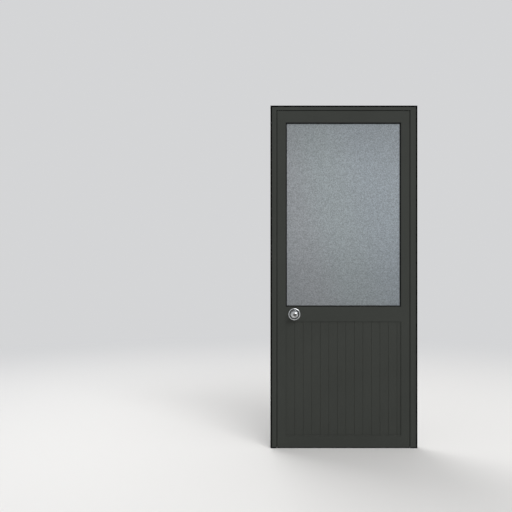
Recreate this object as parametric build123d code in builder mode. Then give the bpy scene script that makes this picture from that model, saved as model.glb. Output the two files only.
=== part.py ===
from build123d import *
from math import floor, radians, sqrt, tan
import os

# A half-glazed aluminium door in its three-sided frame, in millimetres. X runs along the width,
# the outside face looks along -Y, +Z is up, and the origin is on the floor at mid-width.

# Overall sizes
overall_width = 900
overall_height = 2100
system_depth = 45
wall = 2

# Frame extrusions, with widths measured from the masonry to the edge of the lip
lock_jamb_width = 37
hinge_jamb_width = 43.5
head_width = 28.5
wall_seal_size = 9
lip_overlap = 12
lip_depth = 6.2
foot_height = 6
foot_clearance = 0.1

# Gaps between the leaf and the frame
face_gap = 4.5
edge_gap = 4.5
floor_gap = 6
shoulder_depth = 10.5

# Leaf members, with widths as they show on the outside face
stile_width = 52
top_rail_width = 71.5
middle_rail_width = 91.5
bottom_rail_width = 72.5
middle_rail_bottom = 776

# Gasket groove and glazing rebate, alike in every extrusion
groove_width = 5
groove_leg = 1.5
groove_depth = 2.5
glazing_rebate = 16
clip_rib_height = 2
clip_rib_width = 2
clip_rib_depth = 30

# Glass, boards and what holds them
glass_thickness = 6
glass_cover = 12
outer_gasket_thickness = 3.5
gasket_show = 7
inner_gasket_thickness = 4
inner_gasket_show = 1.5
bead_wall = 1.5
bead_radius = 2
setting_block_length = 80
setting_block_width = 8
board_thickness = 10
board_wall = 1.2
board_pitch = 52.25
first_board_show = 55.1
board_joint_gap = 0.15
board_chamfer = 1.2
tongue_length = 7
tongue_thickness = 3
tongue_clearance = 0.3
board_end_gap = 3
seal_strip_stand = 0.3

# Stop gasket and floor seal
bulb_radius = 2.6
bulb_wall = 1
stop_gasket_gap = 0.3
floor_seal_width = 8
floor_seal_clearance = 0.5
floor_seal_head = 3.3
floor_seal_stem = 2.8

# Fixings
fixing_hole_radius = 3.25
fixing_access_radius = 5.5
fixing_depth = 27
fixing_end_distance = 200
fixings_per_jamb = 4
head_fixing_spacing = 500
tie_screw_radius = 2.2
tie_screw_length = 28
tie_head_radius = 4.2
tie_head_height = 2.6
port_wall = 1.7
port_web = 2.4
port_depth = 38
screw_clearance = 0.05

# Hinges
hinge_height = 100
hinge_end_distance = 200
hinge_axis_offset = 8
knuckle_radius = 7.5
frame_knuckle_height = 25
knuckle_gap = 1
wing_thickness = 3
frame_wing_width = 28
leaf_wing_width = 36
wing_root = 0.75
wing_clearance = 0.4
hinge_pin_radius = 4
hinge_pin_head_radius = 5.5
hinge_pin_head_height = 2
bush_wall = 0.95
bush_length = 15
running_clearance = 0.05
press_clearance = 0.02
thrust_clearance = 0.1
hinge_screw_radius = 2.3
hinge_screw_head_radius = 4.6
hinge_screw_length = 14
hinge_screw_pitch = 35
frame_screw_offset = 17
leaf_screw_offset = 22
countersink_angle = 82

# Knob lock
knob_backset = 116.2
knob_head_radius = 24
knob_rim_height = 44
knob_rim_thickness = 8
knob_rim_set = 1.5
knob_neck_length = 13
knob_face_radius = 10.5
knob_dome_radius = 28
knob_dish_radius = 8
knob_dish_depth = 2.5
knob_neck_radius = 11
knob_projection = 62
knob_wall = 2.5
knob_core_wall = 2
knob_sleeve_radius = 10
knob_sleeve_insertion = 11.5
rose_radius = 37
rose_height = 8.5
rose_rim = 3.5
rose_crown_radius = 31
rose_well_radius = 24
rose_well_height = 3.5
rose_cove_radius = 12
rose_collar_radius = 14
rose_collar_height = 7
rose_clearance = 0.5
lock_bore_radius = 25
chassis_radius = 24
spindle_size = 7
spindle_depth = 24
key_plug_radius = 6.5
key_plug_length = 22
key_plug_stand = 1.2
keyway_width = 1.8
keyway_height = 9
turn_stem_radius = 5
turn_stem_length = 22
turn_button_length = 22
turn_button_thickness = 6
turn_button_height = 10
turn_button_gap = 0.5
through_bolt_radius = 2
through_bolt_reach = 2.1
through_bolt_offset = 18
latch_case_radius = 11
latch_case_wall = 1.5
latch_bolt_height = 15
latch_bolt_width = 11
latch_bolt_length = 30
latch_throw = 12
latch_bolt_flat = 3
latch_clearance = 0.3
latch_tail_height = 6
latch_tail_thickness = 2.5
latch_tail_gap = 1
spring_wire_radius = 0.6
spring_radius = 4.8
spring_turns = 9
faceplate_width = 22
faceplate_height = 57
faceplate_thickness = 1.5
strike_width = 26
strike_height = 72
strike_thickness = 1.5
strike_opening_margin = 1
strike_lip_height = 26
strike_lip_bend = 3
strike_lip_angle = 60
plate_corner_radius = 2
lock_screw_radius = 1.7
lock_screw_head_radius = 3
lock_screw_head_height = 0.4
lock_screw_length = 12
faceplate_screw_offset = 21
strike_screw_offset = 27

# Places worked out from the sizes above
half_width = overall_width / 2
front = -system_depth / 2
back = system_depth / 2
lock_rebate_x = -half_width + lock_jamb_width - lip_overlap
hinge_rebate_x = half_width - hinge_jamb_width + lip_overlap
head_rebate_z = overall_height - head_width + lip_overlap
lock_lip_x = -half_width + lock_jamb_width
hinge_lip_x = half_width - hinge_jamb_width
leaf_left = lock_lip_x + face_gap
leaf_right = hinge_lip_x - face_gap
leaf_top = overall_height - head_width - face_gap
shoulder = lip_overlap + face_gap - edge_gap
leaf_edge_x = leaf_left - shoulder
hinge_edge_x = leaf_right + shoulder
sight_left = leaf_left + stile_width
sight_right = leaf_right - stile_width
rebate_left = sight_left - glazing_rebate
rebate_right = sight_right + glazing_rebate
glass_sight_bottom = middle_rail_bottom + middle_rail_width
glass_sight_top = leaf_top - top_rail_width
panel_sight_bottom = floor_gap + bottom_rail_width
panel_sight_top = middle_rail_bottom
glass_opening = (sight_left, glass_sight_bottom, sight_right, glass_sight_top)
panel_opening = (sight_left, panel_sight_bottom, sight_right, panel_sight_top)
groove_end = wall + groove_depth
glass_depth = groove_end + outer_gasket_thickness
bead_depth = glass_depth + glass_thickness + inner_gasket_thickness
floor_seal_depth = wall + floor_seal_width / 2
board_depth = groove_end + seal_strip_stand
port_radius = tie_screw_radius + screw_clearance + port_wall
knob_x = leaf_edge_x + knob_backset
knob_z = middle_rail_bottom + middle_rail_width / 2
hinge_axis_x = (hinge_rebate_x + hinge_edge_x) / 2
hinge_axis_y = back + hinge_axis_offset
top_hinge_z = leaf_top - hinge_end_distance
bottom_hinge_z = floor_gap + hinge_end_distance
hinge_places = {
    "top": top_hinge_z,
    "middle": (top_hinge_z + bottom_hinge_z) / 2,
    "bottom": bottom_hinge_z,
}

LOW = (Align.MIN, Align.MIN, Align.MIN)
LOW_2D = (Align.MIN, Align.MIN)
FOOT = (Align.CENTER, Align.CENTER, Align.MIN)

os.makedirs("parts", exist_ok=True)


def write(piece, name):
    """Label a finished piece and write it under its name."""
    piece.part.label = name
    export_step(piece.part, f"parts/{name}.step")


def block(low, high, mode=Mode.ADD):
    """A block between two opposite corners."""
    sizes = [top - bottom for bottom, top in zip(low, high)]
    with Locations(low):
        Box(*sizes, align=LOW, mode=mode)


def drill(places, direction, radius, depth):
    """Round holes that start at each place and run along the direction."""
    with Locations(*[Plane(origin=place, z_dir=direction) for place in places]):
        Cylinder(radius, depth, align=FOOT, mode=Mode.SUBTRACT)


def run_bar(section, corner, inward, length):
    """Extrude a section whose x points inwards and whose y runs from the outside face inside."""
    run = Vector(*inward).cross(Vector(0, 1, 0))
    with BuildSketch(Plane(origin=corner, x_dir=inward, z_dir=run)) as profile:
        add(section)
    extrude(profile.sketch, amount=length)


def face_plane(depth):
    """The plane parallel to the outside face at a depth behind it."""
    return Plane.XZ.offset(-(front + depth))


def opening_ring(opening, outward, inward, depth, thickness):
    """A rectangular ring that follows the sight line of an opening."""
    left, bottom, right, top = opening
    with BuildSketch(face_plane(depth)) as ring:
        with Locations(((left + right) / 2, (bottom + top) / 2)):
            Rectangle(right - left + 2 * outward, top - bottom + 2 * outward)
            Rectangle(right - left - 2 * inward, top - bottom - 2 * inward, mode=Mode.SUBTRACT)
    extrude(ring.sketch, amount=-thickness)


def countersink_depth(head_radius, shank_radius):
    """Height of a countersunk head's cone."""
    return (head_radius - shank_radius) / tan(radians(countersink_angle / 2))


def countersunk_screws(places, into, head_radius, shank_radius, length):
    """Countersunk screws with their heads flush at each place."""
    with Locations(*[Plane(origin=place, z_dir=into) for place in places]):
        Cylinder(shank_radius, length, align=FOOT)
        Cone(head_radius, shank_radius, countersink_depth(head_radius, shank_radius), align=FOOT)


def countersunk_holes(places, outward, head_radius, shank_radius, depth):
    """The holes that such screws sit in."""
    with Locations(*[Plane(origin=place, z_dir=outward) for place in places]):
        CounterSinkHole(
            shank_radius + screw_clearance,
            head_radius + screw_clearance,
            depth=depth,
            counter_sink_angle=countersink_angle,
        )


def pan_head_screws(places, into):
    """Tie screws whose heads bear on the seat at each place."""
    with Locations(*[Plane(origin=place, z_dir=into) for place in places]):
        Cylinder(tie_screw_radius, tie_screw_length, align=FOOT)
    seats = [tuple(Vector(*place) - Vector(*into) * tie_head_height) for place in places]
    with Locations(*[Plane(origin=seat, z_dir=into) for seat in seats]):
        Cylinder(tie_head_radius, tie_head_height, align=FOOT)


# Sections. In each of them x is the distance from the outer edge and y the depth from outside.


def screw_ports(places):
    """Open screw channels held to the inside wall by a web."""
    for x in places:
        with Locations((x, port_depth)):
            Circle(port_radius)
            Rectangle(port_web, system_depth - wall - port_depth, align=(Align.CENTER, Align.MIN))
            Circle(tie_screw_radius + screw_clearance, mode=Mode.SUBTRACT)
            Rectangle(
                tie_screw_radius,
                port_radius + screw_clearance,
                align=(Align.CENTER, Align.MAX),
                mode=Mode.SUBTRACT,
            )


def frame_outline(width, recess):
    """The outline of a frame extrusion, with its recess for the wall seal and its lip."""
    rebate = width - lip_overlap
    with BuildSketch() as outline:
        with BuildLine():
            Polyline(
                (recess, 0),
                (width, 0),
                (width, lip_depth),
                (width - groove_leg, lip_depth),
                (width - groove_leg, wall),
                (rebate, wall),
                (rebate, system_depth),
                (0, system_depth),
                (0, recess),
                (recess, recess),
                close=True,
            )
        make_face()
    return outline.sketch


def frame_section(width, ports=()):
    """A frame extrusion: its outline, a chamber and a gasket groove in the lip."""
    rebate = width - lip_overlap
    outline = frame_outline(width, wall_seal_size)
    with BuildSketch() as section:
        add(outline)
        with BuildLine():
            Polyline(
                (wall_seal_size + wall, wall),
                (rebate - wall, wall),
                (rebate - wall, system_depth - wall),
                (wall, system_depth - wall),
                (wall, wall_seal_size + wall),
                (wall_seal_size + wall, wall_seal_size + wall),
                close=True,
            )
        make_face(mode=Mode.SUBTRACT)
        with Locations((width - 2 * groove_leg - groove_width, wall)):
            Rectangle(groove_leg, groove_depth, align=LOW_2D)
        screw_ports(ports)
    return section.sketch


def leaf_section(width, outer_edge, ports=(), rib=True):
    """A leaf extrusion with a glazing rebate and a gasket groove at its inner edge.

    The outer edge is a shoulder that shuts behind the frame's lip, plain, or a second rebate.
    """
    pocket = width - glazing_rebate
    inner_side = [
        (width, 0),
        (width, groove_end),
        (width - groove_leg, groove_end),
        (width - groove_leg, wall),
        (pocket, wall),
        (pocket, system_depth),
    ]
    if outer_edge == "shoulder":
        outer_side = [(-shoulder, system_depth), (-shoulder, shoulder_depth), (0, shoulder_depth)]
        chamber_side = [
            (-shoulder + wall, system_depth - wall),
            (-shoulder + wall, shoulder_depth + wall),
            (wall, shoulder_depth + wall),
            (wall, wall),
        ]
    elif outer_edge == "rebate":
        outer_side = [(width - x, y) for x, y in reversed(inner_side[1:])]
        chamber_side = [(glazing_rebate + wall, system_depth - wall), (glazing_rebate + wall, wall)]
    else:
        outer_side = [(0, system_depth)]
        chamber_side = [(wall, system_depth - wall), (wall, wall)]
    with BuildSketch() as section:
        with BuildLine():
            Polyline((0, 0), *inner_side, *outer_side, close=True)
        make_face()
        with BuildLine():
            Polyline(
                (pocket - wall, wall), (pocket - wall, system_depth - wall), *chamber_side, close=True
            )
        make_face(mode=Mode.SUBTRACT)
        hook = 2 * groove_leg + groove_width
        with Locations((width - hook, wall)):
            Rectangle(groove_leg, groove_depth, align=LOW_2D)
        if rib:
            with Locations((pocket, clip_rib_depth)):
                Rectangle(clip_rib_height, clip_rib_width, align=LOW_2D)
        if outer_edge == "rebate":
            with Locations((hook - groove_leg, wall)):
                Rectangle(groove_leg, groove_depth, align=LOW_2D)
            with Locations((glazing_rebate - clip_rib_height, clip_rib_depth)):
                Rectangle(clip_rib_height, clip_rib_width, align=LOW_2D)
        screw_ports(ports)
    return section.sketch


def bead_section():
    """A hollow snap-in bead that stands on the floor of the glazing rebate."""
    with BuildSketch() as section:
        with Locations((0, bead_depth)):
            Rectangle(glazing_rebate, system_depth - bead_depth, align=LOW_2D)
        corner = section.vertices().sort_by_distance((glazing_rebate, system_depth))[0]
        fillet(corner, bead_radius)
        with Locations((bead_wall, bead_depth + bead_wall)):
            Rectangle(
                glazing_rebate - 2 * bead_wall,
                system_depth - bead_depth - 2 * bead_wall,
                align=LOW_2D,
                mode=Mode.SUBTRACT,
            )
        with Locations((0, clip_rib_depth - tongue_clearance)):
            Rectangle(
                clip_rib_height + tongue_clearance,
                clip_rib_width + 2 * tongue_clearance,
                align=LOW_2D,
                mode=Mode.SUBTRACT,
            )
    return section.sketch


def stop_gasket_section(width):
    """A plug in the lip's groove with a hollow bulb that the leaf's shoulder shuts against."""
    centre = width - groove_leg - groove_width / 2
    bulb_depth = shoulder_depth - stop_gasket_gap - bulb_radius
    with BuildSketch() as section:
        with Locations((centre, wall)):
            Rectangle(
                groove_width - 2 * screw_clearance,
                bulb_depth - bulb_radius / 2 - wall,
                align=(Align.CENTER, Align.MIN),
            )
        with Locations((centre, bulb_depth)):
            Circle(bulb_radius)
            Circle(bulb_radius - bulb_wall, mode=Mode.SUBTRACT)
    return section.sketch


# Frame

fixing_span = overall_height - 2 * fixing_end_distance
fixing_heights = [
    fixing_end_distance + fixing_span * step / (fixings_per_jamb - 1)
    for step in range(fixings_per_jamb)
]
fixing_y = front + fixing_depth
head_port_x = (head_width - lip_overlap) / 2
head_section = frame_section(head_width, ports=(head_port_x,))
head_port_z = overall_height - head_port_x
port_y = front + port_depth

jamb_length = overall_height - foot_height
with BuildPart() as frame_jamb_lock:
    lock_jamb_section = frame_section(lock_jamb_width)
    run_bar(lock_jamb_section, (-half_width, front, foot_height), (1, 0, 0), jamb_length)
    block(
        (-half_width, front, overall_height - wall_seal_size),
        (lock_lip_x, front + wall_seal_size, overall_height),
        mode=Mode.SUBTRACT,
    )
    drill([(-half_width, port_y, head_port_z)], (1, 0, 0), tie_head_radius + port_wall, 2 * wall)
    drill(
        [(lock_rebate_x - 2 * wall, port_y, head_port_z)],
        (1, 0, 0),
        tie_screw_radius + screw_clearance,
        3 * wall,
    )
    drill([(-half_width, fixing_y, z) for z in fixing_heights], (1, 0, 0), fixing_hole_radius, 2 * wall)
    drill(
        [(lock_rebate_x - 2 * wall, fixing_y, z) for z in fixing_heights],
        (1, 0, 0),
        fixing_access_radius,
        3 * wall,
    )
    strike_opening = (
        latch_bolt_width / 2 + strike_opening_margin,
        latch_bolt_height / 2 + strike_opening_margin,
    )
    block(
        (lock_rebate_x - 2 * wall, -strike_opening[0], knob_z - strike_opening[1]),
        (lock_rebate_x + wall, strike_opening[0], knob_z + strike_opening[1]),
        mode=Mode.SUBTRACT,
    )
    strike_screw_places = [
        (lock_rebate_x + strike_thickness, 0, knob_z + side * strike_screw_offset)
        for side in (-1, 1)
    ]
    drill(strike_screw_places, (-1, 0, 0), lock_screw_radius + screw_clearance, lock_screw_length)
write(frame_jamb_lock, "frame_jamb_lock")

with BuildPart() as frame_jamb_hinge:
    hinge_jamb_section = frame_section(hinge_jamb_width)
    run_bar(hinge_jamb_section, (half_width, front, overall_height), (-1, 0, 0), jamb_length)
    block(
        (hinge_lip_x, front, overall_height - wall_seal_size),
        (half_width, front + wall_seal_size, overall_height),
        mode=Mode.SUBTRACT,
    )
    drill([(half_width, port_y, head_port_z)], (-1, 0, 0), tie_head_radius + port_wall, 2 * wall)
    drill(
        [(hinge_rebate_x + 2 * wall, port_y, head_port_z)],
        (-1, 0, 0),
        tie_screw_radius + screw_clearance,
        3 * wall,
    )
    drill([(half_width, fixing_y, z) for z in fixing_heights], (-1, 0, 0), fixing_hole_radius, 2 * wall)
    drill(
        [(hinge_rebate_x + 2 * wall, fixing_y, z) for z in fixing_heights],
        (-1, 0, 0),
        fixing_access_radius,
        3 * wall,
    )
    frame_screw_places = [
        (hinge_axis_x + frame_screw_offset, back + wing_thickness, z + step * hinge_screw_pitch)
        for z in hinge_places.values()
        for step in (-1, 0, 1)
    ]
    drill(frame_screw_places, (0, -1, 0), hinge_screw_radius + screw_clearance, hinge_screw_length)
write(frame_jamb_hinge, "frame_jamb_hinge")

with BuildPart() as frame_head:
    head_length = hinge_rebate_x - lock_rebate_x
    run_bar(head_section, (lock_rebate_x, front, overall_height), (0, 0, -1), head_length)
    # both ends are cut back in front, where the jambs' lips run past
    for start, end in ((lock_rebate_x, lock_lip_x), (hinge_lip_x, hinge_rebate_x)):
        block(
            (start, front, overall_height - head_width),
            (end, front + lip_depth + seal_strip_stand, overall_height),
            mode=Mode.SUBTRACT,
        )
    head_fixing_places = [
        (side * head_fixing_spacing / 2, fixing_y, overall_height) for side in (-1, 1)
    ]
    drill(head_fixing_places, (0, 0, -1), fixing_hole_radius, 2 * wall)
    access_places = [(x, y, head_rebate_z + 2 * wall) for x, y, z in head_fixing_places]
    drill(access_places, (0, 0, -1), fixing_access_radius, 3 * wall)
write(frame_head, "frame_head")

with BuildPart() as frame_corner_screws:
    pan_head_screws([(lock_rebate_x - wall, port_y, head_port_z)], (1, 0, 0))
    pan_head_screws([(hinge_rebate_x + wall, port_y, head_port_z)], (-1, 0, 0))
write(frame_corner_screws, "frame_corner_screws")

# Each side seal runs down beside the moulded foot that its jamb stands on.
side_seal_height = overall_height - wall_seal_size
foot_recess = wall_seal_size + foot_clearance
with BuildPart() as wall_seal_lock:
    seal_end_x = -half_width + wall_seal_size
    block((-half_width, front, 0), (seal_end_x, front + wall_seal_size, side_seal_height))
    lock_foot_section = frame_outline(lock_jamb_width, foot_recess)
    run_bar(lock_foot_section, (-half_width, front, 0), (1, 0, 0), foot_height)
write(wall_seal_lock, "wall_seal_lock")

with BuildPart() as wall_seal_hinge:
    seal_start_x = half_width - wall_seal_size
    block((seal_start_x, front, 0), (half_width, front + wall_seal_size, side_seal_height))
    hinge_foot_section = frame_outline(hinge_jamb_width, foot_recess)
    run_bar(hinge_foot_section, (half_width, front, foot_height), (-1, 0, 0), foot_height)
write(wall_seal_hinge, "wall_seal_hinge")

with BuildPart() as wall_seal_head:
    block((-half_width, front, side_seal_height), (half_width, front + wall_seal_size, overall_height))
write(wall_seal_head, "wall_seal_head")

stop_gasket_top = head_rebate_z - stop_gasket_gap
stop_gasket_length = stop_gasket_top - foot_height
with BuildPart() as stop_gasket_lock:
    lock_gasket_section = stop_gasket_section(lock_jamb_width)
    run_bar(lock_gasket_section, (-half_width, front, foot_height), (1, 0, 0), stop_gasket_length)
write(stop_gasket_lock, "stop_gasket_lock")

with BuildPart() as stop_gasket_hinge:
    hinge_gasket_section = stop_gasket_section(hinge_jamb_width)
    corner = (half_width, front, stop_gasket_top)
    run_bar(hinge_gasket_section, corner, (-1, 0, 0), stop_gasket_length)
write(stop_gasket_hinge, "stop_gasket_hinge")

with BuildPart() as stop_gasket_head:
    head_gasket_section = stop_gasket_section(head_width)
    corner = (lock_lip_x, front, overall_height)
    run_bar(head_gasket_section, corner, (0, 0, -1), hinge_lip_x - lock_lip_x)
write(stop_gasket_head, "stop_gasket_head")

# Leaf members

stile_section = leaf_section(stile_width, "shoulder", rib=False)
rail_length = rebate_right - rebate_left
port_inset = wall + port_radius - port_wall / 2
top_rail_ports = (port_inset, top_rail_width - glazing_rebate - port_inset)
middle_rail_ports = (glazing_rebate + port_inset, middle_rail_width - glazing_rebate - port_inset)
bottom_rail_ports = (
    wall + floor_seal_head + port_inset,
    bottom_rail_width - glazing_rebate - port_inset,
)
tie_heights = [
    *[leaf_top - port for port in top_rail_ports],
    *[middle_rail_bottom + port for port in middle_rail_ports],
    *[floor_gap + port for port in bottom_rail_ports],
]
stile_head = leaf_top + shoulder
stile_length = stile_head - floor_gap
rib_low = front + clip_rib_depth


def milled_ribs(left, right):
    """The clip rib of a stile, left standing only beside the glass and the boards."""
    for opening in (glass_opening, panel_opening):
        block((left, rib_low, opening[1]), (right, rib_low + clip_rib_width, opening[3]))


def tie_screw_holes(edge_x, seat_x, direction):
    """Access holes in a stile's outer edge and screw holes in the floor of its rebate."""
    run = (direction, 0, 0)
    access = [(edge_x - direction * wall, port_y, z) for z in tie_heights]
    drill(access, run, tie_head_radius + screw_clearance, 3 * wall)
    seats = [(seat_x - direction * wall, port_y, z) for z in tie_heights]
    drill(seats, run, tie_screw_radius + screw_clearance, 3 * wall)


with BuildPart() as leaf_stile_lock:
    run_bar(stile_section, (leaf_left, front, floor_gap), (1, 0, 0), stile_length)
    block(
        (leaf_left, front, leaf_top), (sight_left, front + shoulder_depth, stile_head), Mode.SUBTRACT
    )
    milled_ribs(rebate_left, rebate_left + clip_rib_height)
    tie_screw_holes(leaf_edge_x, rebate_left - wall, 1)
    drill(
        [(leaf_edge_x - wall, 0, knob_z)],
        (1, 0, 0),
        latch_case_radius + latch_clearance,
        rebate_left - leaf_edge_x + 2 * wall,
    )
    faceplate_screw_places = [
        (leaf_edge_x - faceplate_thickness, 0, knob_z + side * faceplate_screw_offset)
        for side in (-1, 1)
    ]
    drill(faceplate_screw_places, (1, 0, 0), lock_screw_radius + screw_clearance, lock_screw_length)
write(leaf_stile_lock, "leaf_stile_lock")

with BuildPart() as leaf_stile_hinge:
    run_bar(stile_section, (leaf_right, front, stile_head), (-1, 0, 0), stile_length)
    block(
        (sight_right, front, leaf_top), (leaf_right, front + shoulder_depth, stile_head), Mode.SUBTRACT
    )
    milled_ribs(rebate_right - clip_rib_height, rebate_right)
    tie_screw_holes(hinge_edge_x, rebate_right + wall, -1)
    leaf_screw_places = [
        (hinge_axis_x - leaf_screw_offset, back + wing_thickness, z + step * hinge_screw_pitch)
        for z in hinge_places.values()
        for step in (-1, 0, 1)
    ]
    drill(leaf_screw_places, (0, -1, 0), hinge_screw_radius + screw_clearance, hinge_screw_length)
write(leaf_stile_hinge, "leaf_stile_hinge")


def cope_ends(bottom, top):
    """Cut a rail's ends back in front, where the stiles' fins run past."""
    for start, end in ((rebate_left, sight_left), (sight_right, rebate_right)):
        block((start, front, bottom), (end, front + board_depth, top), Mode.SUBTRACT)


with BuildPart() as leaf_rail_top:
    top_rail_section = leaf_section(top_rail_width, "shoulder", top_rail_ports)
    run_bar(top_rail_section, (rebate_left, front, leaf_top), (0, 0, -1), rail_length)
    cope_ends(glass_sight_top, leaf_top)
write(leaf_rail_top, "leaf_rail_top")

with BuildPart() as leaf_rail_middle:
    middle_rail_section = leaf_section(middle_rail_width, "rebate", middle_rail_ports)
    corner = (rebate_right, front, middle_rail_bottom)
    run_bar(middle_rail_section, corner, (0, 0, 1), rail_length)
    cope_ends(panel_sight_top, glass_sight_bottom)
    drill([(knob_x, front, knob_z)], (0, 1, 0), lock_bore_radius, system_depth)
write(leaf_rail_middle, "leaf_rail_middle")

with BuildPart() as leaf_rail_bottom:
    seal_slot_height = floor_seal_head + wall + 2 * screw_clearance
    plain_section = leaf_section(bottom_rail_width, "plain", bottom_rail_ports)
    with BuildSketch() as bottom_rail_section:
        add(plain_section)
        with Locations((0, floor_seal_depth - floor_seal_width / 2 - wall)):
            Rectangle(seal_slot_height + wall, floor_seal_width + 2 * wall, align=LOW_2D)
        with Locations((0, floor_seal_depth)):
            Rectangle(
                wall + screw_clearance,
                floor_seal_stem + 2 * screw_clearance,
                align=(Align.MIN, Align.CENTER),
                mode=Mode.SUBTRACT,
            )
        with Locations((wall, floor_seal_depth)):
            Rectangle(
                floor_seal_head + 2 * screw_clearance,
                floor_seal_width + 2 * screw_clearance,
                align=(Align.MIN, Align.CENTER),
                mode=Mode.SUBTRACT,
            )
    corner = (rebate_right, front, floor_gap)
    run_bar(bottom_rail_section.sketch, corner, (0, 0, 1), rail_length)
    cope_ends(floor_gap, panel_sight_bottom)
write(leaf_rail_bottom, "leaf_rail_bottom")

with BuildPart() as leaf_tie_screws:
    pan_head_screws([(rebate_left - wall, port_y, z) for z in tie_heights], (1, 0, 0))
    pan_head_screws([(rebate_right + wall, port_y, z) for z in tie_heights], (-1, 0, 0))
write(leaf_tie_screws, "leaf_tie_screws")

with BuildPart() as floor_seal:
    with BuildSketch() as floor_seal_section:
        with Locations((wall + screw_clearance, floor_seal_depth)):
            Rectangle(floor_seal_head, floor_seal_width, align=(Align.MIN, Align.CENTER))
        with Locations((-screw_clearance, floor_seal_depth)):
            Rectangle(
                wall + 3 * screw_clearance, floor_seal_stem, align=(Align.MIN, Align.CENTER)
            )
    corner = (sight_right, front, floor_gap)
    run_bar(floor_seal_section.sketch, corner, (0, 0, 1), sight_right - sight_left)
    # the wiping strip below the rail runs on under both stiles
    block(
        (leaf_left, front + floor_seal_depth - floor_seal_width / 2, floor_seal_clearance),
        (
            leaf_right,
            front + floor_seal_depth + floor_seal_width / 2,
            floor_gap - screw_clearance,
        ),
    )
write(floor_seal, "floor_seal")

# Glass

opening_width = sight_right - sight_left
opening_middle_x = (sight_left + sight_right) / 2
glass_height = glass_sight_top - glass_sight_bottom + 2 * glass_cover
glass_middle_z = (glass_sight_bottom + glass_sight_top) / 2
glass_foot = glass_middle_z - glass_height / 2
with BuildPart() as glass_pane:
    with BuildSketch(face_plane(glass_depth)):
        with Locations((opening_middle_x, glass_middle_z)):
            Rectangle(opening_width + 2 * glass_cover, glass_height)
    extrude(amount=-glass_thickness)
write(glass_pane, "glass_pane")


def groove_plugs(opening, depth_end):
    """The four strips that fill the gasket grooves round an opening."""
    left, bottom, right, top = opening
    near = groove_leg + screw_clearance
    far = groove_leg + groove_width - screw_clearance
    reach = groove_leg + groove_width + groove_leg
    low, high = front + wall, front + depth_end
    block((left - far, low, bottom - reach), (left - near, high, top + reach))
    block((right + near, low, bottom - reach), (right + far, high, top + reach))
    block((left, low, bottom - far), (right, high, bottom - near))
    block((left, low, top + near), (right, high, top + far))


gasket_cover = 2 * groove_leg + groove_width
with BuildPart() as glass_gasket_outer:
    opening_ring(glass_opening, gasket_cover, gasket_show, groove_end, outer_gasket_thickness)
    groove_plugs(glass_opening, groove_end)
write(glass_gasket_outer, "glass_gasket_outer")

with BuildPart() as glass_gasket_inner:
    opening_ring(
        glass_opening,
        glass_cover / 2,
        inner_gasket_show,
        glass_depth + glass_thickness,
        inner_gasket_thickness,
    )
write(glass_gasket_inner, "glass_gasket_inner")

with BuildPart() as glass_setting_blocks:
    # two under the pane, and one against each stile near the top and the bottom
    block_y = front + glass_depth + glass_thickness / 2
    edge_gap_height = glazing_rebate - glass_cover
    with Locations(
        *[
            (opening_middle_x + side * opening_width / 4, block_y, glass_foot - edge_gap_height / 2)
            for side in (-1, 1)
        ]
    ):
        Box(setting_block_length, setting_block_width, edge_gap_height)
    with Locations(
        *[
            (x, block_y, glass_middle_z + side * glass_height / 4)
            for x in (rebate_left + edge_gap_height / 2, rebate_right - edge_gap_height / 2)
            for side in (-1, 1)
        ]
    ):
        Box(edge_gap_height, setting_block_width, setting_block_length)
write(glass_setting_blocks, "glass_setting_blocks")

# Snap-in beads on the inside: the level ones run from stile to stile, the upright ones between

bead = bead_section()
for group, opening in (("glass", glass_opening), ("panel", panel_opening)):
    opening_bottom, opening_top = opening[1], opening[3]
    opening_height = opening_top - opening_bottom
    bead_runs = {
        "bottom": ((rebate_right, opening_bottom - glazing_rebate), (0, 0, 1), rail_length),
        "top": ((rebate_left, opening_top + glazing_rebate), (0, 0, -1), rail_length),
        "lock": ((rebate_left, opening_bottom), (1, 0, 0), opening_height),
        "hinge": ((rebate_right, opening_top), (-1, 0, 0), opening_height),
    }
    for side, ((x, z), inward, length) in bead_runs.items():
        with BuildPart() as glazing_bead:
            run_bar(bead, (x, front, z), inward, length)
        write(glazing_bead, f"{group}_bead_{side}")

# Boards of the lower panel

with BuildPart() as panel_seal_strips:
    groove_plugs(panel_opening, board_depth)
write(panel_seal_strips, "panel_seal_strips")

board_back = board_depth + board_thickness
with BuildPart() as panel_gasket_inner:
    opening_ring(
        panel_opening, glass_cover / 2, inner_gasket_show, board_back, bead_depth - board_back
    )
write(panel_gasket_inner, "panel_gasket_inner")

board_bottom = panel_sight_bottom - glazing_rebate
board_top = panel_sight_top + glazing_rebate - board_end_gap
panel_left = sight_left - glass_cover
panel_right = sight_right + glass_cover
first_joint = sight_left + first_board_show
board_count = floor((sight_right - first_joint) / board_pitch)
last_joint = first_joint + board_count * board_pitch
tongue_middle = board_thickness / 2
groove_reach = tongue_length + 2 * tongue_clearance


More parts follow.
